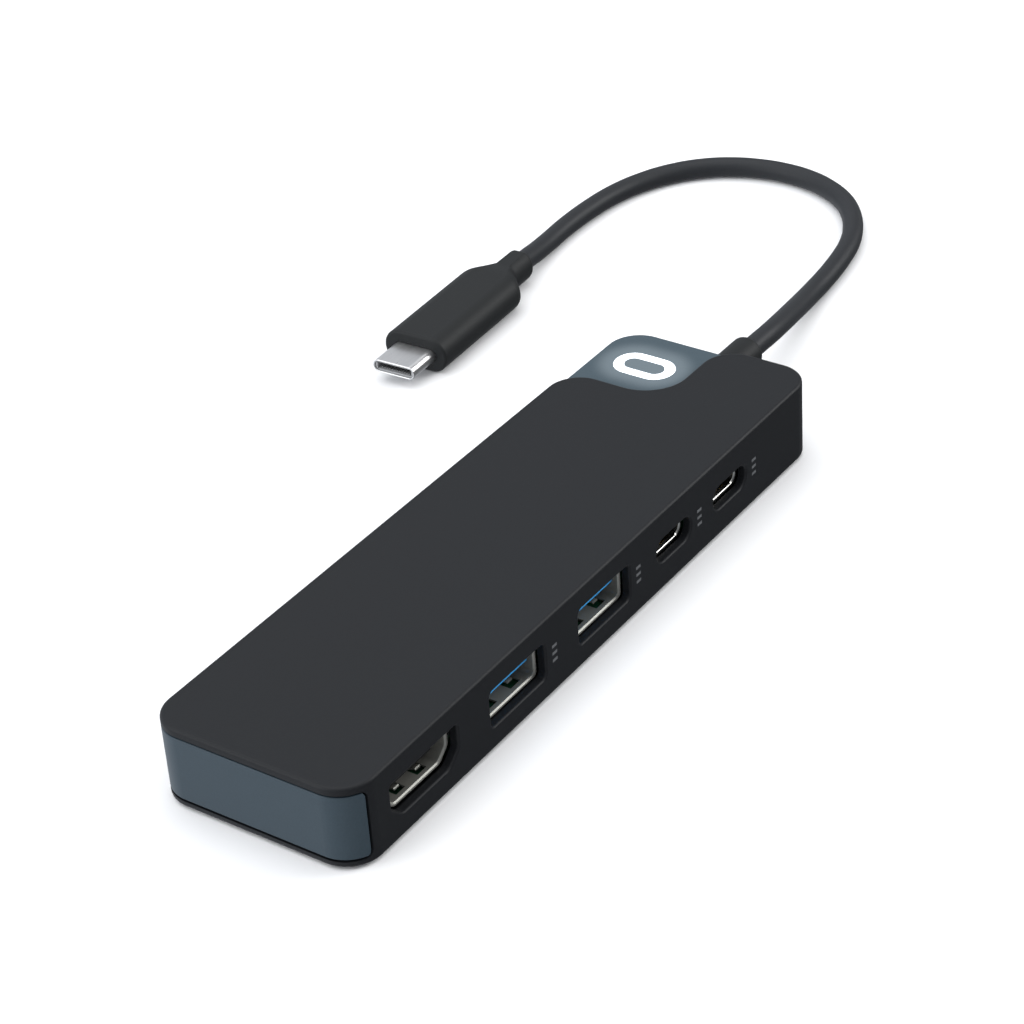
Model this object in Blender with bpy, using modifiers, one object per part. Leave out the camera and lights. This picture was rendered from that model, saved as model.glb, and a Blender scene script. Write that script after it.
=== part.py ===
"""Laptop docking station: a slim USB-C hub with a lit corner tile, a slate end and a short fixed lead.

Frame: metres, +Z up. +X runs along the case to the end that the lead leaves, and the five ports face -Y.
The origin is on the surface that the hub stands on, under the middle of the case.
"""

import math

import bmesh
import bpy
from mathutils import Matrix, Vector

MM = 0.001
GAP = 0.3 * MM  # between two pieces that meet
FINE_GAP = 0.1 * MM  # between soldered or moulded-in pieces and what carries them
WELD = 0.002 * MM

# Case
CASE_LENGTH = 122.5 * MM
CASE_WIDTH = 35.0 * MM
CASE_HEIGHT = 13.35 * MM
CASE_CORNER = 5.44 * MM
WALL = 1.4 * MM
TOP_SKIN = 1.15 * MM
EDGE_FILLET = 0.6 * MM
FOOT_PROUD = 0.4 * MM
CASE_LOW = FOOT_PROUD
CASE_HIGH = CASE_LOW + CASE_HEIGHT
INNER_HIGH = CASE_HIGH - TOP_SKIN
END_X = CASE_LENGTH / 2
SIDE_Y = CASE_WIDTH / 2
INNER_X = END_X - WALL
INNER_Y = SIDE_Y - WALL

# Bottom cover, its catches and the feet
COVER_THICK = 1.2 * MM
COVER_HIGH = CASE_LOW + COVER_THICK
CATCH_SIZE = Vector((4.0, 1.0, 3.2)) * MM
CATCHES_FRONT = [-33.6 * MM, -11.8 * MM, 10.0 * MM, 49.0 * MM]
CATCHES_BACK = [-42.0 * MM, -14.0 * MM, 14.0 * MM, 33.0 * MM]
FOOT_SIZE = (6.0 * MM, 25.0 * MM)
FOOT_X = 44.0 * MM
FOOT_SUNK = 0.3 * MM

# Slate end panel
PANEL_END_X = -57.65 * MM
PANEL_LOW = 1.75 * MM
PANEL_HIGH = 12.25 * MM
PANEL_CORNER = 0.9 * MM
PANEL_ARM = (Vector((-59.5, 14.1, 4.9)) * MM, Vector((-54.7, 15.4, 9.4)) * MM)

# Corner tile, its step in the top of the case, and the emblem
STEP_X = 43.4 * MM
STEP_Y = -0.25 * MM
STEP_CURVE = 5.4 * MM
STEP_CORNER = 6.9 * MM
TILE_LOW = 11.0 * MM
TILE_HIGH = 12.3 * MM
TILE_X = STEP_X - STEP_CURVE
TILE_Y = STEP_Y - STEP_CURVE
TILE_BEVEL = 0.25 * MM
EMBLEM_CENTRE = (52.3 * MM, 8.6 * MM)
EMBLEM_SIZE = (6.6 * MM, 10.6 * MM)
EMBLEM_STROKE = 1.7 * MM
EMBLEM_LOW = 11.6 * MM
GUIDE_SIZE = (8.2 * MM, 12.2 * MM)
GUIDE_WALL = 1.0 * MM
GUIDE_POCKET_HIGH = 8.9 * MM
LED_SIZE = (2.8 * MM, 3.5 * MM, 0.9 * MM)
LED_SHIFT = 2.6 * MM

# Board
BOARD_LOW = 2.84 * MM
BOARD_HIGH = 3.84 * MM
BOARD_X = (-58.4 * MM, 57.0 * MM)
BOARD_Y = 14.2 * MM
BOARD_CORNER = 1.0 * MM
BOARD_SCREWS = [
    (-56.0 * MM, 8.5 * MM),
    (-33.6 * MM, -11.0 * MM),
    (10.0 * MM, -11.0 * MM),
    (36.0 * MM, 11.0 * MM),
]
SCREW_RADIUS = 0.7 * MM
SCREW_HEAD_RADIUS = 1.5 * MM
SCREW_HEAD_HEIGHT = 0.9 * MM
SCREW_TIP = 0.9 * MM
BOSS_RADIUS = 2.0 * MM

# Components on the board: middle in plan, then length, width and height
CHIPS = {
    "hub_chip": ((-14.0 * MM, 5.5 * MM), (9.0 * MM, 9.0 * MM, 0.9 * MM)),
    "video_chip": ((-41.0 * MM, 6.5 * MM), (7.0 * MM, 7.0 * MM, 0.9 * MM)),
    "power_chip": ((22.0 * MM, 4.0 * MM), (5.0 * MM, 5.0 * MM, 0.85 * MM)),
    "memory_chip": ((6.0 * MM, 9.0 * MM), (5.3 * MM, 5.2 * MM, 1.75 * MM)),
}
CRYSTAL_PLACE = (-25.0 * MM, 8.5 * MM)
CRYSTAL_SIZE = (2.5 * MM, 3.2 * MM, 0.8 * MM)
COIL_PLACES = [(16.0 * MM, -2.5 * MM), (31.0 * MM, -2.5 * MM)]
COIL_SIZE = (4.2 * MM, 4.2 * MM, 2.0 * MM)
CAPACITOR_SIZE = (1.6 * MM, 3.2 * MM, 1.6 * MM)
CAPACITOR_PLACES = [
    (-27.0 * MM, 1.5 * MM),
    (-4.0 * MM, 1.5 * MM),
    (-4.0 * MM, 10.5 * MM),
    (-20.0 * MM, 12.2 * MM),
    (-34.0 * MM, 11.5 * MM),
    (27.5 * MM, 9.5 * MM),
]

# Ports: the mouths of the shells lie just behind the front wall, on one centre line
PORT_Z = 7.0 * MM
MOUTH_Y = -INNER_Y + GAP
SHEET = 0.3 * MM
HDMI_X = -45.3 * MM
USB_A_X = [-23.0 * MM, -0.7 * MM]
USB_C_X = [18.5 * MM, 34.75 * MM]

HDMI_WIDTH = 13.9 * MM
HDMI_HEIGHT = 4.55 * MM
HDMI_FLOOR = 10.1 * MM
HDMI_SHOULDER = -0.68 * MM
HDMI_SLANT = math.radians(40)
HDMI_DEPTH = 11.5 * MM
HDMI_TONGUE = (10.4 * MM, 1.2 * MM)
HDMI_PITCH = 1.0 * MM
HDMI_CONTACT = 0.45 * MM
HDMI_CONTACT_INSET = 0.4 * MM

USB_A_OPENING = (12.5 * MM, 5.12 * MM)
USB_A_DEPTH = 13.4 * MM
USB_A_TONGUE = (11.1 * MM, 1.84 * MM)
USB_A_TONGUE_Z = 0.98 * MM
USB_A_SETBACK = 0.7 * MM
USB_A_CORNER = 0.5 * MM
USB_A_PITCH = 2.5 * MM
USB_A_CONTACT = 1.0 * MM
USB_A_CONTACT_START = 2.2 * MM

USB_C_OPENING = (8.34 * MM, 2.56 * MM)
USB_C_DEPTH = 7.6 * MM
USB_C_TONGUE = (6.69 * MM, 0.7 * MM)
USB_C_PITCH = 0.5 * MM
USB_C_CONTACT = 0.25 * MM
USB_C_CONTACT_SHEET = 0.08 * MM
USB_C_CONTACT_INSET = 0.2 * MM
USB_C_BASE_START = 0.6 * MM

TONGUE_SETBACK = 1.2 * MM
BACK_BLOCK = 2.4 * MM
CONTACT_BAND = 0.6 * MM
CONTACT_SHEET = 0.15 * MM
CUTOUT_A = (13.65 * MM, 6.05 * MM, 0.9 * MM)
CUTOUT_C = (9.7 * MM, 4.0 * MM, 2.0 * MM)
CUTOUT_HDMI_GROW = 0.75 * MM

# Lead: strain relief, cord and plug
LEAD_Y = 0.95 * MM
BOOT_RADIUS = 2.9 * MM
BOOT_END_X = 72.4 * MM
BOOT_FLANGE = 1.0 * MM
BOOT_FLANGE_LOW = 57.8 * MM
BOOT_ROUNDING = 1.2 * MM
CORD_DIAMETER = 3.7 * MM
CORD_POINT_EVERY = 2 * CORD_DIAMETER
CORD_ROUTE = [
    (72.7, 0.95, 7.0),
    (75.6, 0.98, 6.95),
    (79.0, 1.1, 6.75),
    (84.5, 1.95, 5.87),
    (90.6, 3.3, 4.5),
    (96.9, 4.75, 3.05),
    (102.5, 5.8, 2.15),
    (107.5, 6.4, 1.87),
    (112.0, 6.95, 1.87),
    (116.5, 7.7, 1.87),
    (121.1, 8.8, 1.87),
    (126.3, 10.9, 1.87),
    (131.3, 14.0, 1.87),
    (135.2, 17.7, 1.87),
    (138.2, 22.5, 1.87),
    (139.9, 27.5, 1.87),
    (140.4, 32.5, 1.87),
    (139.8, 37.8, 1.87),
    (137.9, 43.2, 1.87),
    (134.8, 47.9, 1.87),
    (130.4, 51.8, 1.87),
    (125.0, 54.7, 1.87),
    (118.5, 56.7, 1.87),
    (111.0, 57.6, 1.87),
    (103.0, 57.7, 1.87),
    (96.5, 57.2, 1.95),
    (91.5, 56.5, 2.45),
    (88.2, 56.0, 2.95),
    (85.98, 55.6, 3.2),
]

# Wires inside the case: place along X, share of the way to the pad, and height
WIRE_RADIUS = 0.4 * MM
WIRE_SPACING = 0.95 * MM
PAD_Y = -1.7 * MM
PAD_SPACING = 1.3 * MM
WIRE_LOW = BOARD_HIGH + WIRE_RADIUS + FINE_GAP
WIRE_RUN = [
    (57.5 * MM, 0.0, 7.0 * MM),
    (56.2 * MM, 0.0, 6.8 * MM),
    (54.6 * MM, 0.4, 6.0 * MM),
    (53.2 * MM, 0.8, 4.8 * MM),
    (52.0 * MM, 1.0, WIRE_LOW),
    (50.0 * MM, 1.0, WIRE_LOW),
]

# Plug, in its own frame: +X runs from its tip towards the cord
PLUG_PLACE = (51.0 * MM, 54.0 * MM, 3.2 * MM)
PLUG_YAW = math.radians(2.6)
PLUG_SHELL = (8.25 * MM, 2.4 * MM)
PLUG_SHEET = 0.2 * MM
PLUG_TIP = -6.65 * MM
PLUG_ROOT = 3.2 * MM
PLUG_LINER_INSET = 0.3 * MM
PLUG_MOUTH = Vector((-1.0, 3.4, 0.62)) * MM
PLUG_CONTACT_START = PLUG_TIP + 0.7 * MM
PLUG_CONTACT_SHEET = 0.1 * MM
PLUG_BOARD = (Vector((3.8, -4.0, -0.4)) * MM, Vector((13.0, 4.0, 0.4)) * MM)
PLUG_CORNER = 3.1 * MM
PLUG_SECTIONS = [  # along the plug, width, height
    (0.0, 11.6, 5.6),
    (0.5, 12.4, 6.4),
    (23.4, 12.4, 6.4),
    (24.4, 12.1, 6.38),
    (25.4, 10.9, 6.3),
    (26.4, 9.0, 6.1),
    (27.4, 7.1, 5.8),
    (28.3, 5.9, 5.5),
    (29.0, 5.4, 5.4),
    (34.2, 5.4, 5.4),
    (34.7, 4.6, 4.6),
]

# Finishes: linear RGB, roughness and, for metals, metallic
BLACK_CASE = ((0.022, 0.024, 0.027), 0.42)
BLACK_COVER = ((0.022, 0.024, 0.027), 0.5)
RUBBER = ((0.03, 0.03, 0.03), 0.8)
SLATE = ((0.085, 0.115, 0.135), 0.4)
SLATE_TILE = ((0.12, 0.16, 0.19), 0.35)
LIGHT_WHITE = ((0.95, 0.97, 1.0), 0.3)
CLEAR = ((0.8, 0.8, 0.8), 0.3)
LED = ((0.9, 0.88, 0.7), 0.4)
BOARD_GREEN = ((0.01, 0.09, 0.05), 0.45)
CHIP_BLACK = ((0.02, 0.02, 0.022), 0.35)
BLACK_PLASTIC = ((0.02, 0.02, 0.022), 0.5)
SOFT_BLACK = ((0.02, 0.02, 0.022), 0.6)
BLUE_PLASTIC = ((0.02, 0.22, 0.55), 0.45)
FERRITE = ((0.09, 0.09, 0.1), 0.6)
CERAMIC = ((0.35, 0.26, 0.17), 0.5)
WIRE_RED = ((0.35, 0.05, 0.04), 0.5)
STEEL = ((0.62, 0.62, 0.64), 0.28, 1.0)
GOLD = ((0.83, 0.62, 0.25), 0.3, 1.0)


def clear_scene():
    """Removes whatever the scene holds."""
    for thing in list(bpy.data.objects):
        bpy.data.objects.remove(thing)


def add_collection(name, hidden=False):
    """A new collection in the scene."""
    made = bpy.data.collections.new(name)
    made.hide_render = hidden
    bpy.context.scene.collection.children.link(made)
    return made


def material(name, colour, roughness, metallic=0.0):
    """A plain Principled material."""
    made = bpy.data.materials.new(name)
    made.use_nodes = True
    shader = made.node_tree.nodes["Principled BSDF"]
    shader.inputs["Base Color"].default_value = (*colour, 1)
    shader.inputs["Roughness"].default_value = roughness
    shader.inputs["Metallic"].default_value = metallic
    return made


def keep(name, mesh, finish=None):
    """A mesh as an object: a piece of the hub with its own material, or a cutter when it has no finish."""
    made = bpy.data.objects.new(name, mesh)
    if finish is None:
        made.hide_render = True
        made.display_type = "WIRE"
        CUTTERS.objects.link(made)
    else:
        mesh.materials.clear()
        mesh.materials.append(material(name, *finish))
        PARTS.objects.link(made)
    return made


def mesh_of(shape, name):
    """A bmesh as a mesh with its faces turned outwards."""
    bmesh.ops.remove_doubles(shape, verts=shape.verts, dist=WELD)
    bmesh.ops.recalc_face_normals(shape, faces=shape.faces)
    mesh = bpy.data.meshes.new(name)
    shape.to_mesh(mesh)
    shape.free()
    return mesh


def evaluated_mesh(thing):
    """The mesh that a curve or a modifier makes, after which the object is removed."""
    graph = bpy.context.evaluated_depsgraph_get()
    mesh = bpy.data.meshes.new_from_object(thing.evaluated_get(graph))
    bpy.data.objects.remove(thing)
    return mesh


def arc(centre, radius, start, end, steps=6):
    """Points on a circular arc between two angles in degrees, both ends included."""
    angles = [math.radians(start + (end - start) * i / steps) for i in range(steps + 1)]
    return [(centre[0] + radius * math.cos(a), centre[1] + radius * math.sin(a)) for a in angles]


def rounded(width, height, radius, steps=6, centre=(0, 0)):
    """The outline of a rectangle with round corners, or of a slot when the radius is half its height."""
    across = width / 2 - radius
    up = height / 2 - radius
    corners = [(across, up, 0), (-across, up, 90), (-across, -up, 180), (across, -up, 270)]
    outline = []
    for x, y, start in corners:
        outline += arc((centre[0] + x, centre[1] + y), radius, start, start + 90, steps)
    return outline


def spaced_out(outline):
    """The outline without points that repeat the one before."""
    return [p for i, p in enumerate(outline) if (Vector(p) - Vector(outline[i - 1])).length > WELD]


def prism(name, outlines, low, high, along="Z"):
    """A mesh between two heights from flat outlines, of which the second one is a hole.

    The outlines lie in XY, XZ or YZ when the prism runs along Z, Y or X.
    """
    curve = bpy.data.curves.new(name, "CURVE")
    curve.dimensions = "2D"
    curve.fill_mode = "BOTH"
    curve.extrude = (high - low) / 2
    for outline in map(spaced_out, outlines):
        spline = curve.splines.new("POLY")
        spline.points.add(len(outline) - 1)
        for point, (x, y) in zip(spline.points, outline):
            point.co = (x, y, 0, 1)
        spline.use_cyclic_u = True
    flat = bpy.data.objects.new(name, curve)
    bpy.context.scene.collection.objects.link(flat)
    shape = bmesh.new()
    shape.from_mesh(evaluated_mesh(flat))
    bmesh.ops.translate(shape, verts=shape.verts, vec=(0, 0, (low + high) / 2))
    axes = {
        "Z": ((1, 0, 0), (0, 1, 0), (0, 0, 1)),
        "Y": ((1, 0, 0), (0, 0, 1), (0, 1, 0)),
        "X": ((0, 0, 1), (1, 0, 0), (0, 1, 0)),
    }
    bmesh.ops.transform(shape, matrix=Matrix(axes[along]).to_4x4(), verts=shape.verts)
    bmesh.ops.remove_doubles(shape, verts=shape.verts, dist=WELD)
    bmesh.ops.dissolve_limit(shape, angle_limit=math.radians(1), verts=shape.verts, edges=shape.edges)
    return mesh_of(shape, name)


def boxes(name, corner_pairs):
    """A mesh of separate boxes, each between a low and a high corner."""
    shape = bmesh.new()
    for low, high in corner_pairs:
        size = Vector(high) - Vector(low)
        place = Matrix.Translation((Vector(low) + Vector(high)) / 2) @ Matrix.Diagonal((*size, 1))
        bmesh.ops.create_cube(shape, size=1, matrix=place)
    mesh = bpy.data.meshes.new(name)
    shape.to_mesh(mesh)
    shape.free()
    return mesh


def turned(name, profile, steps=16):
    """A mesh turned about Z from a profile of radius and height, listed from the top down."""
    mesh = bpy.data.meshes.new(name)
    points = [(radius, 0, height) for radius, height in profile]
    mesh.from_pydata(points, [(i, i + 1) for i in range(len(points) - 1)], [])
    spun = bpy.data.objects.new(name, mesh)
    bpy.context.scene.collection.objects.link(spun)
    screw = spun.modifiers.new("turn", "SCREW")
    screw.steps = steps
    screw.render_steps = steps
    screw.use_merge_vertices = True
    screw.merge_threshold = WELD
    return evaluated_mesh(spun)


def copies(name, mesh, places):
    """One mesh with a copy of the given mesh at each place, for cutting or joining in one go."""
    shape = bmesh.new()
    for place in places:
        copied = mesh.copy()
        copied.transform(Matrix.Translation(place))
        shape.from_mesh(copied)
        bpy.data.meshes.remove(copied)
    return mesh_of(shape, name)


def boolean(target, tool, operation="DIFFERENCE"):
    """Cuts the target with the tool, joins them, or keeps what they share."""
    modifier = target.modifiers.new(tool.name, "BOOLEAN")
    modifier.operation = operation
    modifier.object = tool
    modifier.solver = "EXACT"


def bevel(target, width, segments, angle=60):
    """Rounds the edges sharper than the angle in degrees."""
    modifier = target.modifiers.new("rounding", "BEVEL")
    modifier.width = width
    modifier.segments = segments
    modifier.limit_method = "ANGLE"
    modifier.angle_limit = math.radians(angle)


def case_outline(inset=0.0, steps=6):
    """The case in plan, or the same outline drawn inwards."""
    return rounded(CASE_LENGTH - 2 * inset, CASE_WIDTH - 2 * inset, CASE_CORNER - inset, steps)


def hdmi_outline(grow=0.0):
    """The opening with two slanted lower corners, drawn outwards by grow."""
    side = HDMI_WIDTH / 2 + grow
    high = HDMI_HEIGHT / 2 + grow
    shoulder = HDMI_SHOULDER - grow * math.tan(math.pi / 4 - HDMI_SLANT / 2)
    floor = HDMI_FLOOR / 2 + grow * math.tan(HDMI_SLANT / 2)
    left = [(-side, high), (-side, shoulder), (-floor, -high)]
    return [*left, (floor, -high), (side, shoulder), (side, high)]


def moved(outline, x, y):
    """The outline shifted in its own plane."""
    return [(a + x, b + y) for a, b in outline]


def step_outline():
    """The region that the top of the case leaves free for the tile, with its S-shaped edge."""
    past_x = END_X + 2 * MM
    past_y = SIDE_Y + 2 * MM
    return [
        *arc((STEP_X - STEP_CURVE, SIDE_Y - STEP_CURVE), STEP_CURVE, 90, 0),
        *arc((STEP_X + STEP_CORNER, STEP_Y + STEP_CORNER), STEP_CORNER, 180, 270),
        *arc((END_X - STEP_CURVE, STEP_Y - STEP_CURVE), STEP_CURVE, 90, 0),
        (past_x, STEP_Y - STEP_CURVE),
        (past_x, past_y),
        (STEP_X - STEP_CURVE, past_y),
    ]


def panel_zone(margin):
    """The end of the case that the panel takes, seen from the side, drawn outwards by a margin."""
    end = PANEL_END_X + margin
    low = PANEL_LOW - margin
    high = PANEL_HIGH + margin
    radius = PANEL_CORNER + margin
    outside = -END_X - 3 * MM
    return [
        (outside, low),
        *arc((end - radius, low + radius), radius, -90, 0, 4),
        *arc((end - radius, high - radius), radius, 0, 90, 4),
        (outside, high),
    ]


def port_cutters():
    """One prism through the front wall for each port."""
    outlines = [moved(hdmi_outline(CUTOUT_HDMI_GROW), HDMI_X, PORT_Z)]
    for ports, (width, height, radius) in ((USB_A_X, CUTOUT_A), (USB_C_X, CUTOUT_C)):
        outlines += [rounded(width, height, radius, 4, (x, PORT_Z)) for x in ports]
    for number, outline in enumerate(outlines):
        yield keep(f"cut_port_{number}", prism("cut", [outline], -SIDE_Y - MM, -INNER_Y + MM, "Y"))


def make_top_case():
    """Top and walls in one moulding, open below, with the port cut-outs, end window and tile step."""
    case = keep("top_case", prism("top_case", [case_outline()], CASE_LOW, CASE_HIGH), BLACK_CASE)
    bevel(case, EDGE_FILLET, 2)
    hollow = prism("hollow", [case_outline(WALL)], CASE_LOW - MM, INNER_HIGH)
    boolean(case, keep("cut_hollow", hollow))
    for cutter in port_cutters():
        boolean(case, cutter)
    window = prism("window", [panel_zone(GAP)], -SIDE_Y - MM, SIDE_Y + MM, "Y")
    boolean(case, keep("cut_window", window))
    step = prism("step", [step_outline()], TILE_HIGH - GAP, CASE_HIGH + MM)
    boolean(case, keep("cut_step", step))
    pocket = boxes("pocket", [(
        (TILE_X - GAP, TILE_Y - GAP, TILE_LOW - GAP),
        (END_X + MM, SIDE_Y + MM, INNER_HIGH),
    )])
    boolean(case, keep("cut_tile_pocket", pocket))
    lead_hole = prism(
        "lead_hole",
        [moved(rounded(*[2 * (BOOT_RADIUS + GAP)] * 2, BOOT_RADIUS + GAP), LEAD_Y, PORT_Z)],
        INNER_X - MM,
        END_X + MM,
        "X",
    )
    boolean(case, keep("cut_lead_hole", lead_hole))


def foot_outline(grow=0.0):
    """A long strip with round ends."""
    width, length = FOOT_SIZE
    return rounded(width + 2 * grow, length + 2 * grow, width / 2 + grow, 5)


def make_bottom_cover():
    """Flat cover with catches at its edges, posts for the board screws and recesses for the feet."""
    plate = prism("bottom_cover", [case_outline(WALL + GAP, 5)], CASE_LOW, COVER_HIGH)
    cover = keep("bottom_cover", plate, BLACK_COVER)
    edge = INNER_Y - GAP
    catches = []
    for places, side in ((CATCHES_FRONT, -1), (CATCHES_BACK, 1)):
        for x in places:
            near = side * edge
            far = side * (edge - CATCH_SIZE.y)
            low = (x - CATCH_SIZE.x / 2, min(near, far), CASE_LOW + COVER_THICK / 2)
            high = (x + CATCH_SIZE.x / 2, max(near, far), COVER_HIGH + CATCH_SIZE.z)
            catches.append((low, high))
    boolean(cover, keep("add_catches", boxes("catches", catches)), "UNION")
    post = prism(
        "post",
        [rounded(2 * BOSS_RADIUS, 2 * BOSS_RADIUS, BOSS_RADIUS, 3)],
        CASE_LOW + COVER_THICK / 2,
        BOARD_LOW - GAP,
    )
    boolean(cover, keep("add_posts", copies("posts", post, [(*p, 0) for p in BOARD_SCREWS])), "UNION")
    hole_radius = SCREW_RADIUS + GAP
    hole_outline = rounded(2 * hole_radius, 2 * hole_radius, hole_radius, 2)
    hole = prism("hole", [hole_outline], SCREW_TIP - FINE_GAP, BOARD_LOW)
    boolean(cover, keep("cut_post_holes", copies("holes", hole, [(*p, 0) for p in BOARD_SCREWS])))
    recess = prism("recess", [foot_outline(GAP)], -MM, CASE_LOW + FOOT_SUNK + GAP)
    boolean(cover, keep("cut_recesses", copies("recesses", recess, [(-FOOT_X, 0, 0), (FOOT_X, 0, 0)])))


def make_feet():
    """Two rubber strips that the hub stands on."""
    for number, x in enumerate((-FOOT_X, FOOT_X), 1):
        name = f"rubber_foot_{number}"
        foot = keep(name, prism(name, [foot_outline()], 0, CASE_LOW + FOOT_SUNK), RUBBER)
        foot.location.x = x


def make_end_panel():
    """Slate panel let into the end of the case, round both corners, with an arm inside each side wall."""
    band = prism("end_panel", [case_outline(), case_outline(WALL)], CASE_LOW, CASE_HIGH)
    panel = keep("end_panel", band, SLATE)
    zone = prism("panel_zone", [panel_zone(0)], -SIDE_Y - MM, SIDE_Y + MM, "Y")
    boolean(panel, keep("keep_panel", zone), "INTERSECT")
    low, high = PANEL_ARM
    mirrored = ((low.x, -high.y, low.z), (high.x, -low.y, high.z))
    boolean(panel, keep("add_arms", boxes("arms", [PANEL_ARM, mirrored])), "UNION")


def make_corner_tile():
    """Translucent slate plate at the corner, its outer edge flush with the case, grooved for the emblem."""
    outline = [
        (TILE_X, TILE_Y),
        (END_X, TILE_Y),
        *arc((END_X - CASE_CORNER, SIDE_Y - CASE_CORNER), CASE_CORNER, 0, 90),
        (TILE_X, SIDE_Y),
    ]
    plate = prism("corner_tile", [outline], TILE_LOW, TILE_HIGH)
    tile = keep("corner_tile", plate, SLATE_TILE)
    bevel(tile, TILE_BEVEL, 2, 80)
    groove = prism("groove", emblem_outlines(FINE_GAP), EMBLEM_LOW - FINE_GAP, TILE_HIGH + MM)
    boolean(tile, keep("cut_groove", groove))


def emblem_outlines(grow=0.0):
    """A ring with straight sides: its outer and inner edge, the ring widened by grow each way."""
    width, length = EMBLEM_SIZE
    outer = rounded(width + 2 * grow, length + 2 * grow, width / 2 + grow, 8, EMBLEM_CENTRE)
    slot = width - 2 * (EMBLEM_STROKE + grow)
    inner = rounded(slot, length - 2 * (EMBLEM_STROKE + grow), slot / 2, 8, EMBLEM_CENTRE)
    return [outer, inner]


def make_light():
    """The emblem set in the tile, and below it the light guide over its two LEDs."""
    emblem = prism("lit_emblem", emblem_outlines(), EMBLEM_LOW, TILE_HIGH)
    keep("lit_emblem", emblem, LIGHT_WHITE)
    width, length = GUIDE_SIZE
    outline = rounded(width, length, width / 2, 6, EMBLEM_CENTRE)
    body = prism("light_guide", [outline], BOARD_HIGH + GAP, TILE_LOW - GAP)
    guide = keep("light_guide", body, CLEAR)
    wide, long = width - 2 * GUIDE_WALL, length - 2 * GUIDE_WALL
    pocket_outline = rounded(wide, long, wide / 2, 5, EMBLEM_CENTRE)
    pocket = prism("pocket", [pocket_outline], BOARD_LOW, GUIDE_POCKET_HIGH)
    boolean(guide, keep("cut_guide", pocket))
    x, y = EMBLEM_CENTRE
    for number, shift in enumerate((-LED_SHIFT, LED_SHIFT), 1):
        component(f"status_led_{number}", (x, y + shift), LED_SIZE, LED)


def component(name, centre, size, finish):
    """A box-shaped component on the board, from its centre in plan and its size."""
    across, deep, tall = size
    foot = BOARD_HIGH + FINE_GAP
    low = (centre[0] - across / 2, centre[1] - deep / 2, foot)
    high = (centre[0] + across / 2, centre[1] + deep / 2, foot + tall)
    keep(name, boxes(name, [(low, high)]), finish)


def make_board():
    """The circuit board with its four screw holes."""
    outline = rounded(BOARD_X[1] - BOARD_X[0], 2 * BOARD_Y, BOARD_CORNER, 2, (sum(BOARD_X) / 2, 0))
    board = keep("main_board", prism("main_board", [outline], BOARD_LOW, BOARD_HIGH), BOARD_GREEN)
    radius = SCREW_RADIUS + GAP
    hole = prism("hole", [rounded(2 * radius, 2 * radius, radius, 3)], BOARD_LOW - MM, BOARD_HIGH + MM)
    boolean(board, keep("cut_screw_holes", copies("holes", hole, [(*p, 0) for p in BOARD_SCREWS])))


def make_components():
    """The chips, the clock crystal, the coils and the capacitors on the board."""
    for name, (centre, size) in CHIPS.items():
        component(name, centre, size, CHIP_BLACK)
    component("clock_crystal", CRYSTAL_PLACE, CRYSTAL_SIZE, STEEL)
    for number, centre in enumerate(COIL_PLACES, 1):
        component(f"power_coil_{number}", centre, COIL_SIZE, FERRITE)
    for number, centre in enumerate(CAPACITOR_PLACES, 1):
        component(f"capacitor_{number}", centre, CAPACITOR_SIZE, CERAMIC)


def make_screws():
    """Four pan-head screws that hold the board to the cover's posts."""
    seat = BOARD_HIGH + FINE_GAP
    profile = [
        (0, seat + SCREW_HEAD_HEIGHT),
        (SCREW_HEAD_RADIUS * 0.7, seat + SCREW_HEAD_HEIGHT),
        (SCREW_HEAD_RADIUS, seat + SCREW_HEAD_HEIGHT * 0.6),
        (SCREW_HEAD_RADIUS, seat),
        (SCREW_RADIUS, seat),
        (SCREW_RADIUS, SCREW_TIP + SCREW_RADIUS),
        (0, SCREW_TIP),
    ]
    for number, place in enumerate(BOARD_SCREWS, 1):
        name = f"board_screw_{number}"
        screw = keep(name, turned(name, profile, 10), STEEL)
        screw.location = (*place, 0)


def place_in_port(piece, x):
    """Moves a piece modelled round the middle of a port's mouth, +Y going in, to its port."""
    piece.location = (x, MOUTH_Y, PORT_Z)


def tongue_block(name, back_outline, tongue, tongue_z, depth, finish, setback=TONGUE_SETBACK):
    """Insulator: a block that closes the back of the shell, and the tongue that stands out of it."""
    back = prism(name, [back_outline], depth - BACK_BLOCK, depth - GAP, "Y")
    insulator = keep(name, back, finish)
    width, thick = tongue
    low = (-width / 2, setback, tongue_z - thick / 2)
    high = (width / 2, depth - BACK_BLOCK / 2, tongue_z + thick / 2)
    blade = keep(f"add_{name}", boxes("tongue", [(low, high)]))
    boolean(insulator, blade, "UNION")
    blade.parent = insulator
    return insulator


def contact_row(count, pitch, width, start, end, low, high):
    """Boxes for one row of flat contacts, side by side across the tongue."""
    row = []
    for i in range(count):
        x = (i - (count - 1) / 2) * pitch
        row.append(((x - width / 2, start, low), (x + width / 2, end, high)))
    return row


def both_faces(half_thick, sheet):
    """Heights of a contact's two faces above and below a tongue in the middle of its port."""
    near = half_thick + FINE_GAP
    return (near, near + sheet), (-near - sheet, -near)


def contact_set(name, rows, joint):
    """Contacts as one body: the flat strips, and the strip or band across their back ends."""
    contacts = keep(name, joint, GOLD)
    strips = keep(f"add_{name}", boxes("strips", rows))
    boolean(contacts, strips, "UNION")
    strips.parent = contacts
    return contacts


def tongue_band(tongue, sheet, start, end):
    """A band round a tongue in the middle of its port."""
    width, thick = [side + 2 * FINE_GAP for side in tongue]
    outer = rounded(width + 2 * sheet, thick + 2 * sheet, sheet / 2, 1)
    return prism("band", [outer, rounded(width, thick, sheet / 4, 1)], start, end, "Y")


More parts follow.
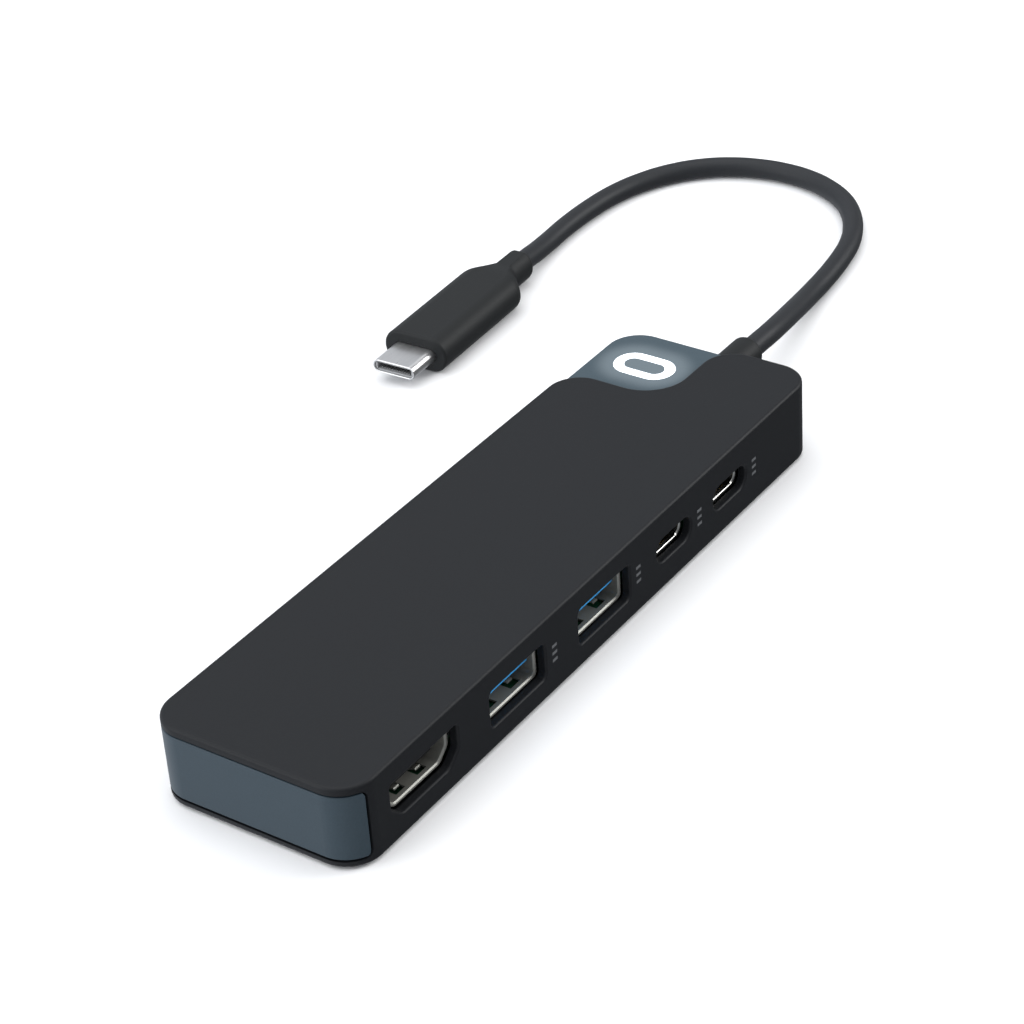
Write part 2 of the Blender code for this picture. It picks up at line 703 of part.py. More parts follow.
def make_hdmi_port():
    """HDMI socket: shell with slanted lower corners, insulator and its two rows of contacts."""
    shell = prism("hdmi_shell", [hdmi_outline(SHEET), hdmi_outline()], 0, HDMI_DEPTH, "Y")
    pieces = [keep("hdmi_shell", shell, STEEL)]
    back = hdmi_outline(-GAP)
    pieces.append(tongue_block("hdmi_insulator", back, HDMI_TONGUE, 0, HDMI_DEPTH, BLACK_PLASTIC))
    upper, lower = both_faces(HDMI_TONGUE[1] / 2, CONTACT_SHEET)
    start = TONGUE_SETBACK + HDMI_CONTACT_INSET
    end = HDMI_DEPTH - BACK_BLOCK - GAP
    rows = contact_row(10, HDMI_PITCH, HDMI_CONTACT, start, end, *upper)
    rows += contact_row(9, HDMI_PITCH, HDMI_CONTACT, start, end, *lower)
    band = tongue_band(HDMI_TONGUE, CONTACT_SHEET, end - CONTACT_BAND, end)
    pieces.append(contact_set("hdmi_contacts", rows, band))
    for piece in pieces:
        place_in_port(piece, HDMI_X)


def make_usb_a_port(number, x):
    """USB-A socket: shell, blue insulator with its tongue above the middle, and the contacts under it."""
    width, height = USB_A_OPENING
    outer = rounded(width + 2 * SHEET, height + 2 * SHEET, USB_A_CORNER + SHEET, 3)
    shell = prism("usb_a_shell", [outer, rounded(width, height, USB_A_CORNER, 3)], 0, USB_A_DEPTH, "Y")
    pieces = [keep(f"usb_a_shell_{number}", shell, STEEL)]
    back = rounded(width - 2 * GAP, height - 2 * GAP, USB_A_CORNER - FINE_GAP, 2)
    name = f"usb_a_insulator_{number}"
    size = (USB_A_TONGUE, USB_A_TONGUE_Z, USB_A_DEPTH)
    pieces.append(tongue_block(name, back, *size, BLUE_PLASTIC, USB_A_SETBACK))
    high = USB_A_TONGUE_Z - USB_A_TONGUE[1] / 2 - FINE_GAP
    low = high - CONTACT_SHEET
    end = USB_A_DEPTH - BACK_BLOCK - GAP
    rows = contact_row(4, USB_A_PITCH, USB_A_CONTACT, USB_A_CONTACT_START, end, low, high)
    side = 1.5 * USB_A_PITCH + USB_A_CONTACT / 2
    joint = boxes("joint", [((-side, end - CONTACT_BAND, low), (side, end, high))])
    pieces.append(contact_set(f"usb_a_contacts_{number}", rows, joint))
    for piece in pieces:
        place_in_port(piece, x)


def make_usb_c_port(number, x):
    """USB-C socket: slot-shaped shell on a raised base, thin tongue and contacts on both its faces."""
    width, height = USB_C_OPENING
    outer = rounded(width + 2 * SHEET, height + 2 * SHEET, height / 2 + SHEET, 6)
    shell = prism("usb_c_shell", [outer, rounded(width, height, height / 2, 6)], 0, USB_C_DEPTH, "Y")
    pieces = [keep(f"usb_c_shell_{number}", shell, STEEL)]
    back = rounded(width - 2 * GAP, height - 2 * GAP, height / 2 - GAP, 4)
    name = f"usb_c_insulator_{number}"
    pieces.append(tongue_block(name, back, USB_C_TONGUE, 0, USB_C_DEPTH, BLACK_PLASTIC))
    start = TONGUE_SETBACK + USB_C_CONTACT_INSET
    end = USB_C_DEPTH - BACK_BLOCK - GAP
    rows = []
    for face in both_faces(USB_C_TONGUE[1] / 2, USB_C_CONTACT_SHEET):
        rows += contact_row(12, USB_C_PITCH, USB_C_CONTACT, start, end, *face)
    band = tongue_band(USB_C_TONGUE, USB_C_CONTACT_SHEET, end - CONTACT_BAND, end)
    pieces.append(contact_set(f"usb_c_contacts_{number}", rows, band))
    low = (-width / 2, USB_C_BASE_START, BOARD_HIGH + GAP - PORT_Z)
    high = (width / 2, USB_C_DEPTH, -height / 2 - SHEET - GAP)
    name = f"usb_c_base_{number}"
    pieces.append(keep(name, boxes(name, [(low, high)]), BLACK_PLASTIC))
    for piece in pieces:
        place_in_port(piece, x)


def make_boot():
    """Strain relief: a flange inside the end wall, and a soft sleeve through it with a round end."""
    flange_high = INNER_X - GAP
    shoulder = (BOOT_RADIUS - BOOT_ROUNDING, BOOT_END_X - BOOT_ROUNDING)
    profile = [
        (0, BOOT_END_X),
        *reversed(arc(shoulder, BOOT_ROUNDING, 0, 90, 4)),
        (BOOT_RADIUS, flange_high),
        (BOOT_RADIUS + BOOT_FLANGE, flange_high),
        (BOOT_RADIUS + BOOT_FLANGE, BOOT_FLANGE_LOW),
        (0, BOOT_FLANGE_LOW),
    ]
    boot = keep("cable_boot", turned("cable_boot", profile), SOFT_BLACK)
    boot.rotation_euler = (0, math.pi / 2, 0)
    boot.location = (0, LEAD_Y, PORT_Z)


def tube(name, route, radius, sides, finish):
    """A round tube along the route, as a curve object."""
    curve = bpy.data.curves.new(name, "CURVE")
    curve.dimensions = "3D"
    curve.bevel_depth = radius
    curve.bevel_resolution = sides
    curve.use_fill_caps = True
    spline = curve.splines.new("POLY")
    spline.points.add(len(route) - 1)
    for point, place in zip(spline.points, route):
        point.co = (*place, 1)
    curve.materials.append(material(name, *finish))
    made = bpy.data.objects.new(name, curve)
    PARTS.objects.link(made)


def smooth_path(points, steps=12):
    """A Catmull-Rom curve through the points, finely stepped."""
    ends = [2 * points[0] - points[1], *points, 2 * points[-1] - points[-2]]
    path = []
    for before, start, end, after in zip(ends, ends[1:], ends[2:], ends[3:]):
        for t in (i / steps for i in range(steps)):
            square = 2 * before - 5 * start + 4 * end - after
            cube = 3 * (start - end) + after - before
            path.append((2 * start + (end - before) * t + square * t**2 + cube * t**3) / 2)
    return [*path, points[-1]]


def evenly(path, spacing):
    """Points along the path at about the given spacing, with both its ends."""
    lengths = [0.0]
    for a, b in zip(path, path[1:]):
        lengths.append(lengths[-1] + (b - a).length)
    count = round(lengths[-1] / spacing)
    wanted = [lengths[-1] * i / count for i in range(count + 1)]
    nearest = [min(range(len(path)), key=lambda i: abs(lengths[i] - w)) for w in wanted]
    return [path[i] for i in nearest]


def make_lead():
    """The five wires inside the case, and the cord from the strain relief to the plug."""
    for number in range(1, 6):
        beside = number - 3
        y = LEAD_Y + beside * WIRE_SPACING
        pad = PAD_Y + beside * PAD_SPACING
        wire = [(x, y + (pad - y) * share, z) for x, share, z in WIRE_RUN]
        tube(f"lead_wire_{number}", wire, WIRE_RADIUS, 1, WIRE_RED)
    route = [Vector(point) * MM for point in CORD_ROUTE]
    cord = evenly(smooth_path(route), CORD_POINT_EVERY)
    tube("cord", cord, CORD_DIAMETER / 2, 2, SOFT_BLACK)


def loft(name, sections, corner):
    """A closed skin through rounded sections along X, each given by its place, width and height in mm."""
    shape = bmesh.new()
    rings = []
    for place, width, height in sections:
        radius = min(corner, width * MM / 2, height * MM / 2)
        outline = rounded(width * MM, height * MM, radius - WELD, 4)
        rings.append([shape.verts.new((place * MM, y, z)) for y, z in outline])
    for near, far in zip(rings, rings[1:]):
        for i in range(len(near)):
            shape.faces.new((near[i - 1], near[i], far[i], far[i - 1]))
    shape.faces.new(rings[0])
    shape.faces.new(rings[-1])
    return mesh_of(shape, name)


def slot_outline(grow=0.0):
    """The round-ended outline of the plug's metal shell, drawn outwards by grow."""
    width, height = PLUG_SHELL
    return rounded(width + 2 * grow, height + 2 * grow, height / 2 + grow, 6)


def plug_contacts(mouth_end):
    """The plug's contacts: a row on the floor of its mouth, one on its ceiling and a wall behind them."""
    far = mouth_end - FINE_GAP
    high = PLUG_MOUTH.z - FINE_GAP
    low = high - PLUG_CONTACT_SHEET
    half = USB_C_CONTACT / 2
    rows = []
    for bottom, top in ((low, high), (-high, -low)):
        for i in range(12):
            y = (i - 5.5) * USB_C_PITCH
            rows.append(((PLUG_CONTACT_START, y - half, bottom), (far, y + half, top)))
    side = 6 * USB_C_PITCH
    wall = boxes("wall", [((far - CONTACT_BAND, -side, -high), (far, side, high))])
    return contact_set("plug_contacts", rows, wall)


def make_plug():
    """USB-C plug: soft overmould, metal shell, insulator with its contacts, and the board behind."""
    frame = bpy.data.objects.new("plug_frame", None)
    frame.location = PLUG_PLACE
    frame.rotation_euler = (0, 0, PLUG_YAW)
    PARTS.objects.link(frame)

    overmold = keep("plug_overmold", loft("plug_overmold", PLUG_SECTIONS, PLUG_CORNER), SOFT_BLACK)
    slot = keep("cut_plug_slot", prism("slot", [slot_outline(GAP)], -MM, PLUG_ROOT + GAP, "X"))
    low, high = PLUG_BOARD
    margin = Vector((GAP, GAP, GAP))
    cavity = keep("cut_plug_cavity", boxes("cavity", [(low - 2 * margin, high + margin)]))
    boolean(overmold, slot)
    boolean(overmold, cavity)

    tube_outlines = [slot_outline(), slot_outline(-PLUG_SHEET)]
    shell = keep("plug_shell", prism("plug_shell", tube_outlines, PLUG_TIP, PLUG_ROOT, "X"), STEEL)
    liner_outline = slot_outline(-PLUG_SHEET - FINE_GAP)
    liner_ends = (PLUG_TIP + PLUG_LINER_INSET, PLUG_ROOT - PLUG_SHEET)
    liner = prism("plug_insulator", [liner_outline], *liner_ends, "X")
    insulator = keep("plug_insulator", liner, BLACK_PLASTIC)
    mouth_low = (PLUG_TIP - MM, -PLUG_MOUTH.y, -PLUG_MOUTH.z)
    mouth_cut = keep("cut_plug_mouth", boxes("mouth", [(mouth_low, PLUG_MOUTH)]))
    boolean(insulator, mouth_cut)
    contacts = plug_contacts(PLUG_MOUTH.x)
    card = keep("plug_board", boxes("plug_board", [PLUG_BOARD]), BOARD_GREEN)
    for piece in (overmold, slot, cavity, shell, insulator, mouth_cut, contacts, card):
        piece.parent = frame


def build():
    """Makes every piece of the docking station."""
    make_top_case()
    make_bottom_cover()
    make_feet()
    make_end_panel()
    make_corner_tile()
    make_light()
    make_board()
    make_components()
    make_screws()
    make_hdmi_port()
    for number, x in enumerate(USB_A_X, 1):
        make_usb_a_port(number, x)
    for number, x in enumerate(USB_C_X, 1):
        make_usb_c_port(number, x)
    make_boot()
    make_lead()
    make_plug()


clear_scene()
PARTS = add_collection("docking_station")
CUTTERS = add_collection("cutters", hidden=True)
build()
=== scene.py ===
# %% [markdown]
# # A laptop docking station in Blender
#
# The real object is a slim USB-C hub: a black moulded case with a slate panel round one end, a lit slate
# tile let into one corner of its top, five ports along its front, and a short captive lead with its plug.
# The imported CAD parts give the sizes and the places. Each cell below shapes one piece on top of them, as
# it would be done by hand in edit mode, and gives it the finish that the real piece has.

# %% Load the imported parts
import math

import bmesh
import bpy
from mathutils import Matrix, Vector


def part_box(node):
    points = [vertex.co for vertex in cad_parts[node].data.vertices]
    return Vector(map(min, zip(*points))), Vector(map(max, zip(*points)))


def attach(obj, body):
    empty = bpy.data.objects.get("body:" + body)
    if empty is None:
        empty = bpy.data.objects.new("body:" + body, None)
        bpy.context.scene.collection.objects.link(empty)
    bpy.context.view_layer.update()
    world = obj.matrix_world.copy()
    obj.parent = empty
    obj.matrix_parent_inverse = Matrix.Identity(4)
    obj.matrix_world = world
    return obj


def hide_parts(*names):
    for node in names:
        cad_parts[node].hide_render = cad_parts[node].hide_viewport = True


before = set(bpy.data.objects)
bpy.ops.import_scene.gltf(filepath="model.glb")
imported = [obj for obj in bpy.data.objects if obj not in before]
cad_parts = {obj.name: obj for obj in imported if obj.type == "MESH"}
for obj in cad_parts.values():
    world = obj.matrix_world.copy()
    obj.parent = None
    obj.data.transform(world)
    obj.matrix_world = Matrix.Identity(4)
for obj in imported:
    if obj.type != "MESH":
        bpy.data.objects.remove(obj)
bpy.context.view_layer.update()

MM = 0.001

# %% [markdown]
# ## The camera
#
# A product view looks down on the top and shows the end and the port side together. A long lens keeps the
# long edges nearly parallel. The camera could aim with a constraint, but three plain turns are easier to
# read: round the upright axis, up from the floor, and a small roll of the head.

# %% Camera
CAMERA_PLACE = Vector((-279.566, -207.988, 244.010)) * MM
CAMERA_TURN = math.radians(-53.5584)
CAMERA_DOWN = math.radians(33.0787)
CAMERA_ROLL = math.radians(-4.2379)
CAMERA_LENS = 100.45

bpy.ops.object.select_all(action="DESELECT")
bpy.ops.object.camera_add()
camera = bpy.context.object
camera.name = "camera"
camera.matrix_world = (
    Matrix.Translation(CAMERA_PLACE)
    @ Matrix.Rotation(CAMERA_TURN, 4, "Z")
    @ Matrix.Rotation(math.pi / 2 - CAMERA_DOWN, 4, "X")
    @ Matrix.Rotation(CAMERA_ROLL, 4, "Z")
)
camera.data.lens = CAMERA_LENS
camera.data.sensor_width = 36.0
camera.data.clip_start = 0.01
bpy.context.scene.camera = camera
print("camera at", [round(v, 3) for v in CAMERA_PLACE], "lens", CAMERA_LENS, "mm")

# %% [markdown]
# ## The lead
#
# The lead is a stiff little cable, 3.7 mm thick and 15 cm long. It leaves its sleeve at the height of the
# board, sinks to the table under its own weight, turns round once and ends in the plug, which lies flat.
# A curve with a round bevel is the natural way to make it: the points are the route of its middle line,
# and automatic handles keep every bend smooth.

# %% Lead
CORD_DIAMETER = 3.7 * MM
CORD_ROUTE = [
    (72.7, 0.95, 7.0),
    (75.6, 0.98, 6.95),
    (79.0, 1.1, 6.75),
    (84.5, 1.95, 5.87),
    (90.6, 3.3, 4.5),
    (96.9, 4.75, 3.05),
    (102.5, 5.8, 2.15),
    (107.5, 6.4, 1.87),
    (112.0, 6.95, 1.87),
    (116.5, 7.7, 1.87),
    (121.1, 8.8, 1.87),
    (126.3, 10.9, 1.87),
    (131.3, 14.0, 1.87),
    (135.2, 17.7, 1.87),
    (138.2, 22.5, 1.87),
    (139.9, 27.5, 1.87),
    (140.4, 32.5, 1.87),
    (139.8, 37.8, 1.87),
    (137.9, 43.2, 1.87),
    (134.8, 47.9, 1.87),
    (130.4, 51.8, 1.87),
    (125.0, 54.7, 1.87),
    (118.5, 56.7, 1.87),
    (111.0, 57.6, 1.87),
    (103.0, 57.7, 1.87),
    (96.5, 57.2, 1.95),
    (91.5, 56.5, 2.45),
    (88.2, 56.0, 2.95),
    (85.98, 55.6, 3.2),
]

line = bpy.data.curves.new("lead_cord", "CURVE")
line.dimensions = "3D"
line.resolution_u = 8
line.bevel_depth = CORD_DIAMETER / 2
line.bevel_resolution = 8
line.use_fill_caps = True
spline = line.splines.new("BEZIER")
spline.bezier_points.add(len(CORD_ROUTE) - 1)
for knot, place in zip(spline.bezier_points, CORD_ROUTE):
    knot.co = Vector(place) * MM
    knot.handle_left_type = knot.handle_right_type = "AUTO"
lead_cord = bpy.data.objects.new("lead_cord", line)
bpy.context.collection.objects.link(lead_cord)

# %% [markdown]
# ## Materials: the basic helpers
#
# Every finish here is a node tree that is built by hand. Three helpers keep that short: one turns a hex
# colour into the linear numbers that Blender works with, one adds a node and links its inputs, and one
# starts a material. The colours could be typed as linear numbers, but nobody can read those as colours.

# %% Colours, nodes and materials
def colour(code):
    """A hex sRGB colour as linear RGBA."""
    parts = [int(code[i : i + 2], 16) / 255 for i in (1, 3, 5)]
    return (*[p / 12.92 if p <= 0.04045 else ((p + 0.055) / 1.055) ** 2.4 for p in parts], 1)


def add(tree, kind, inputs=None, **settings):
    """A node with its settings, and a value or a link for each of the inputs named."""
    node = tree.nodes.new(kind)
    for name, value in settings.items():
        setattr(node, name, value)
    for name, value in (inputs or {}).items():
        if isinstance(value, bpy.types.NodeSocket):
            tree.links.new(value, node.inputs[name])
        else:
            node.inputs[name].default_value = value
    return node


def shaded(name, **values):
    """A new material, its node tree and its main shader with these values on its sockets."""
    made = bpy.data.materials.new(name)
    made.use_nodes = True
    shader = made.node_tree.nodes["Principled BSDF"]
    for key, value in values.items():
        shader.inputs[key.replace("_", " ")].default_value = value
    return made, made.node_tree, shader


print("slate as linear RGB:", [round(part, 3) for part in colour("#2e3c45")[:3]])

# %% [markdown]
# ## The table
#
# The hub stands on a plain white table, which is large enough to fill the view. The table is left out of
# mirror reflections, so that it brightens the black plastic from below by scattered light only. A darker
# table would need no such setting, but a product studio's is white.

# %% Table
FLOOR_SIZE = 8.0
bpy.ops.mesh.primitive_plane_add(size=FLOOR_SIZE)
floor = bpy.context.object
floor.name = "floor"
floor.visible_glossy = False
painted_table = shaded("painted_table", Base_Color=colour("#f7f7f7"), Roughness=0.9)[0]
floor.data.materials.append(painted_table)
print("table across in m:", FLOOR_SIZE)

# %% [markdown]
# ## Studio lights
#
# A broad box light overhead gives the even light of a product studio. A lower one at the end lifts the
# slate panel, and one in front is weak, so that the port side stays dark. The last two stand where the
# edges mirror them: one draws a line along the lips of the ports, the other along the rim over the panel.

# %% Lights
def softbox(name, place, width, depth, brightness):
    """A rectangular area light of an even brightness, turned to face the middle of the case."""
    bpy.ops.object.light_add(type="AREA", location=place)
    lamp = bpy.context.object
    lamp.name = name
    lamp.rotation_euler = (-Vector(place)).to_track_quat("-Z", "Y").to_euler()
    lamp.data.shape = "RECTANGLE"
    lamp.data.size = width
    lamp.data.size_y = depth
    lamp.data.energy = brightness * math.pi * width * depth
    return lamp


softbox("overhead_light", (0.05, 0.1, 1.3), 1.8, 1.8, 1.55)
softbox("end_light", (-1.3, 0.8, 0.55), 1.0, 0.8, 2.6)
softbox("edge_light", (0.95, -0.77, 0.6), 0.8, 0.6, 7.0)
softbox("rim_light", (-0.98, 0.94, 1.22), 0.7, 0.7, 1.6)
softbox("front_light", (-0.1, -1.2, 1.0), 1.0, 0.6, 0.7)

# %% [markdown]
# ## Sky
#
# The sky stands in for the walls of the studio. It is bright beyond the slate end and the far side, and
# nearly dark on the port side, which lets the polished metal show a gradient. The brightness follows the
# direction alone, by a dot product. A picture of a real room would be the other way to get it.

# %% Sky
BRIGHT_SIDE = (-0.6, 0.8, 0.0)
DIM, BRIGHT = 0.03, 1.15
sky = bpy.data.worlds.new("studio")
sky.use_nodes = True
tree = sky.node_tree
outward = add(tree, "ShaderNodeTexCoord").outputs["Generated"]
side = add(tree, "ShaderNodeVectorMath", {0: outward, 1: BRIGHT_SIDE}, operation="DOT_PRODUCT")
ramp = {"Value": side.outputs["Value"], "From Min": -1.0, "From Max": 1.0, "To Min": DIM, "To Max": BRIGHT}
ramp = add(tree, "ShaderNodeMapRange", ramp)
tree.nodes["Background"].inputs["Color"].default_value = colour("#f4f8ff")
tree.links.new(ramp.outputs["Result"], tree.nodes["Background"].inputs["Strength"])
bpy.context.scene.world = sky
bpy.context.scene.view_settings.view_transform = "Standard"
print("sky from", DIM, "to", BRIGHT)

# %% [markdown]
# ## Working by hand
#
# Every piece below starts from a cube or a cylinder at its size and place. It is then shaped in edit mode:
# faces or edges are chosen by where they are, and extruded, inset or rounded. The few helpers here do what
# a hand does between two commands: choose a piece, choose a part of it, and apply what was added.

# %% Choosing pieces and parts of them
def mm(*values):
    """A place or a size given in millimetres."""
    return Vector(values) * MM


def only(*pieces):
    """Leaves edit mode and selects these pieces alone, the first one active."""
    if bpy.context.mode != "OBJECT":
        bpy.ops.object.mode_set(mode="OBJECT")
    bpy.ops.object.select_all(action="DESELECT")
    for piece in pieces:
        piece.select_set(True)
    bpy.context.view_layer.objects.active = pieces[0]


def pick(piece, kind, test):
    """Edit mode, with only those faces, edges or points of a piece selected that pass a test."""
    only(piece)
    bpy.ops.object.mode_set(mode="EDIT")
    bpy.ops.mesh.select_mode(type=kind)
    bpy.ops.mesh.select_all(action="DESELECT")
    shape = bmesh.from_edit_mesh(piece.data)
    for part in {"VERT": shape.verts, "EDGE": shape.edges, "FACE": shape.faces}[kind]:
        if test(part):
            part.select_set(True)
    bmesh.update_edit_mesh(piece.data)


print("a point in mm:", mm(1, 2, 3))

# %% Tests for faces and edges
def facing(direction):
    """A test for the faces that look in a direction."""
    wanted = Vector(direction)
    return lambda face: face.normal.dot(wanted) > 0.99


def running(axis):
    """A test for the edges that run along an axis, 0, 1 or 2 for X, Y or Z."""
    def test(edge):
        along = edge.verts[1].co - edge.verts[0].co
        return abs(along[axis]) > 0.99 * along.length
    return test


def rim(direction, test=lambda edge: True):
    """A test for the edges between a face that looks in a direction and one that doesn't."""
    wanted = Vector(direction)
    def on_rim(edge):
        near = [face.normal.dot(wanted) > 0.99 for face in edge.link_faces]
        return near.count(True) == 1 and len(near) == 2 and test(edge)
    return on_rim


print("tests: facing, running, rim")

# %% Shapes to start from
def round_edges(piece, test, radius, steps):
    """Rounds the chosen edges of a piece."""
    pick(piece, "EDGE", test)
    bpy.ops.mesh.bevel(offset=radius, segments=steps, profile=0.5, affect="EDGES", clamp_overlap=False)
    only(piece)


def block(name, low, high):
    """A box between two corners."""
    bpy.ops.object.select_all(action="DESELECT")
    low, high = Vector(low), Vector(high)
    bpy.ops.mesh.primitive_cube_add(size=1, location=(low + high) / 2)
    piece = bpy.context.object
    piece.name = name
    piece.scale = high - low
    bpy.ops.object.transform_apply(location=True, rotation=True, scale=True)
    return piece


def rounded_block(name, low, high, radius, axis, steps=6):
    """A box whose four edges along one axis are rounded."""
    piece = block(name, low, high)
    round_edges(piece, running(axis), radius, steps)
    return piece


def rod(name, start, length, radius, axis, sides=32):
    """A cylinder that starts at a point and runs along an axis."""
    bpy.ops.object.select_all(action="DESELECT")
    turns = {0: (0, math.pi / 2, 0), 1: (-math.pi / 2, 0, 0), 2: (0, 0, 0)}
    middle = Vector(start)
    middle[axis] += length / 2
    bpy.ops.mesh.primitive_cylinder_add(
        vertices=sides, radius=radius, depth=length, location=middle, rotation=turns[axis]
    )
    piece = bpy.context.object
    piece.name = name
    bpy.ops.object.transform_apply(location=True, rotation=True, scale=True)
    return piece


print("starts: block, rounded_block, rod")

# %% Modifiers, cuts and the last step
def modify(piece, kind, **settings):
    """Adds a modifier with its settings and applies it."""
    only(piece)
    modifier = piece.modifiers.new(kind.lower(), kind)
    for name, value in settings.items():
        setattr(modifier, name, value)
    bpy.ops.object.modifier_apply(modifier=modifier.name)


def carve(piece, *tools, operation="DIFFERENCE"):
    """Cuts a piece with each tool, or joins them, and removes the tools."""
    for tool in tools:
        modify(piece, "BOOLEAN", object=tool, operation=operation, solver="EXACT")
        bpy.data.objects.remove(tool)


def finish(piece, material, slot, *nodes, angle=40):
    """Smooths the round faces of a piece, gives it its material and body, and hides the CAD nodes it
    replaces. The slot is not used.
    """
    only(piece)
    bpy.ops.object.shade_smooth_by_angle(angle=math.radians(angle))
    modify(piece, "WEIGHTED_NORMAL", keep_sharp=True)
    piece.data.name = piece.name
    piece.data.materials.clear()
    piece.data.materials.append(material)
    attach(piece, "root")
    if nodes:
        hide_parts(*nodes)
    print(piece.name, "faces:", len(piece.data.polygons))


print("last steps: modify, carve, finish")

# %% [markdown]
# ## Black moulded case: the plastic
#
# The case is PC/ABS, moulded in a spark-eroded tool. The tool leaves a very fine even grain, which makes
# the black look soft and slightly grey where light grazes it. A bump from two noises gives the grain: the
# real one is about 0.15 mm across, and it is drawn at 0.35 mm so that it shows at arm's length.

# %% Case plastic
GRAIN = 0.35 * MM


def grained(name, code, roughness, grain=GRAIN, depth=0.004 * MM, specular=0.5, lighter=0.12, **values):
    """Moulded plastic: a colour that varies a little, an uneven gloss and a fine grain."""
    made, tree, shader = shaded(name, **values)
    place = add(tree, "ShaderNodeTexCoord").outputs["Object"]
    cloud = add(tree, "ShaderNodeTexNoise", {"Vector": place, "Scale": 1 / (9 * MM), "Detail": 3.0})
    fine = add(tree, "ShaderNodeTexNoise", {"Vector": place, "Scale": 1 / grain, "Detail": 2.0})
    base = colour(code)
    high = (*[min(1.0, c * (1 + lighter)) for c in base[:3]], 1)
    low = (*[c * (1 - lighter) for c in base[:3]], 1)
    tint = {"Factor": fine.outputs["Fac"], "A": low, "B": high}
    tint = add(tree, "ShaderNodeMix", tint, data_type="RGBA")
    tree.links.new(tint.outputs["Result"], shader.inputs["Base Color"])
    gloss = add(
        tree,
        "ShaderNodeMapRange",
        {"Value": cloud.outputs["Fac"], "To Min": roughness - 0.02, "To Max": roughness + 0.02},
    )
    tree.links.new(gloss.outputs["Result"], shader.inputs["Roughness"])
    bump = add(
        tree,
        "ShaderNodeBump",
        {"Height": fine.outputs["Fac"], "Distance": depth, "Strength": 1.0},
    )
    tree.links.new(bump.outputs["Normal"], shader.inputs["Normal"])
    shader.inputs["Specular IOR Level"].default_value = specular
    return made


case_abs = grained("spark_eroded_abs", "#16181b", 0.5, specular=0.22)
print("grain across in mm:", GRAIN / MM)

# %% [markdown]
# ## Black moulded case: the shape
#
# Top and walls are one moulding, open below. A slab with an S-shaped step is joined on a hollow tray, and
# the ports, the end window and the hole for the lead are cut through its walls. The slab's outline is not
# a plain rectangle, so it starts as a box and grows its longer front half by one extrusion. Its corners
# are then rounded, the inner one at the step more widely. Cutting everything from one big block would
# need a tool of a harder shape.

# %% Case
LOW, HIGH = [Vector(corner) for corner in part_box("top_case")]
CORNER = 5.44 * MM
WALL = 1.4 * MM
ROOF = 1.15 * MM
GAP = 0.3 * MM
EDGE = 0.6 * MM
CORNER_STEPS = 14
STEP_X = 43.4 * MM
STEP_Y = -0.25 * MM
STEP_CORNER = 6.9 * MM
roof_low = HIGH.z - ROOF

case = block("case_top", (LOW.x, LOW.y, roof_low - 2 * ROOF / 3), (STEP_X, HIGH.y, HIGH.z))
pick(case, "FACE", lambda face: True)
bpy.ops.mesh.bisect(plane_co=(0, STEP_Y, 0), plane_no=(0, 1, 0))
front_end = lambda face: face.normal.x > 0.99 and face.calc_center_median().y < STEP_Y
pick(case, "FACE", front_end)
bpy.ops.mesh.extrude_region_move(TRANSFORM_OT_translate={"value": (HIGH.x - STEP_X, 0, 0)})
pick(case, "FACE", lambda face: True)
bpy.ops.mesh.dissolve_limited(angle_limit=math.radians(1))
step_place = Vector((STEP_X, STEP_Y))
at_step = lambda edge: (edge.verts[0].co.xy - step_place).length < MM
round_edges(case, lambda edge: running(2)(edge) and not at_step(edge), CORNER, CORNER_STEPS)
round_edges(case, lambda edge: running(2)(edge) and at_step(edge), STEP_CORNER, CORNER_STEPS)
round_edges(case, rim((0, 0, 1)), EDGE, 5)

tray = rounded_block("tray", LOW, (HIGH.x, HIGH.y, roof_low - GAP / 4), CORNER, 2, CORNER_STEPS)
round_edges(tray, rim((0, 0, -1)), EDGE, 5)
carve(case, tray, operation="UNION")
print("case faces after joining the tray:", len(case.data.polygons))

# %% [markdown]
# ## Black moulded case: the large cuts
#
# The case is a shell, so its inside is cut out, and with it the pocket that the tile lies in, the window
# that the panel wraps through and the round hole for the lead. Each tool reaches well past the wall that
# it cuts, because two faces in the same plane make a Boolean fail.

# %% Large cuts
PANEL_END = -57.65 * MM
PANEL_LOW, PANEL_HIGH = 1.75 * MM, 12.25 * MM
TILE_LOW, TILE_HIGH = [Vector(corner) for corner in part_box("corner_tile")]
PORT_Z = 7.0 * MM
LEAD_Y = 0.95 * MM
LEAD_HOLE_RADIUS = 3.1 * MM
WINDOW_CORNER = 1.2 * MM
BEYOND = 3 * MM

pocket = block("pocket", TILE_LOW - Vector((GAP, GAP, GAP)), (HIGH.x + BEYOND, HIGH.y + BEYOND, roof_low))
hollow = rounded_block(
    "hollow",
    (LOW.x + WALL, LOW.y + WALL, LOW.z - BEYOND),
    (HIGH.x - WALL, HIGH.y - WALL, roof_low),
    CORNER - WALL,
    2,
    CORNER_STEPS,
)
window = block(
    "window",
    (LOW.x - BEYOND, LOW.y - BEYOND, PANEL_LOW - GAP),
    (PANEL_END + GAP, HIGH.y + BEYOND, PANEL_HIGH + GAP),
)
window_side = lambda edge: running(1)(edge) and edge.verts[0].co.x > LOW.x
round_edges(window, window_side, WINDOW_CORNER, 6)
lead_hole = rod("lead_hole", (HIGH.x - BEYOND, LEAD_Y, PORT_Z), 2 * BEYOND, LEAD_HOLE_RADIUS, 0)
carve(case, pocket, hollow, window, lead_hole)
print("case faces after the large cuts:", len(case.data.polygons))

# %% [markdown]
# ## Port openings
#
# Five openings go through the front wall: HDMI, two USB-A and two USB-C. Each is cut with a tool of the
# port's own outline, a little larger than the port's shell. Moulded openings have a soft lip, so the
# outer edge of every opening is rounded once all of them are cut.

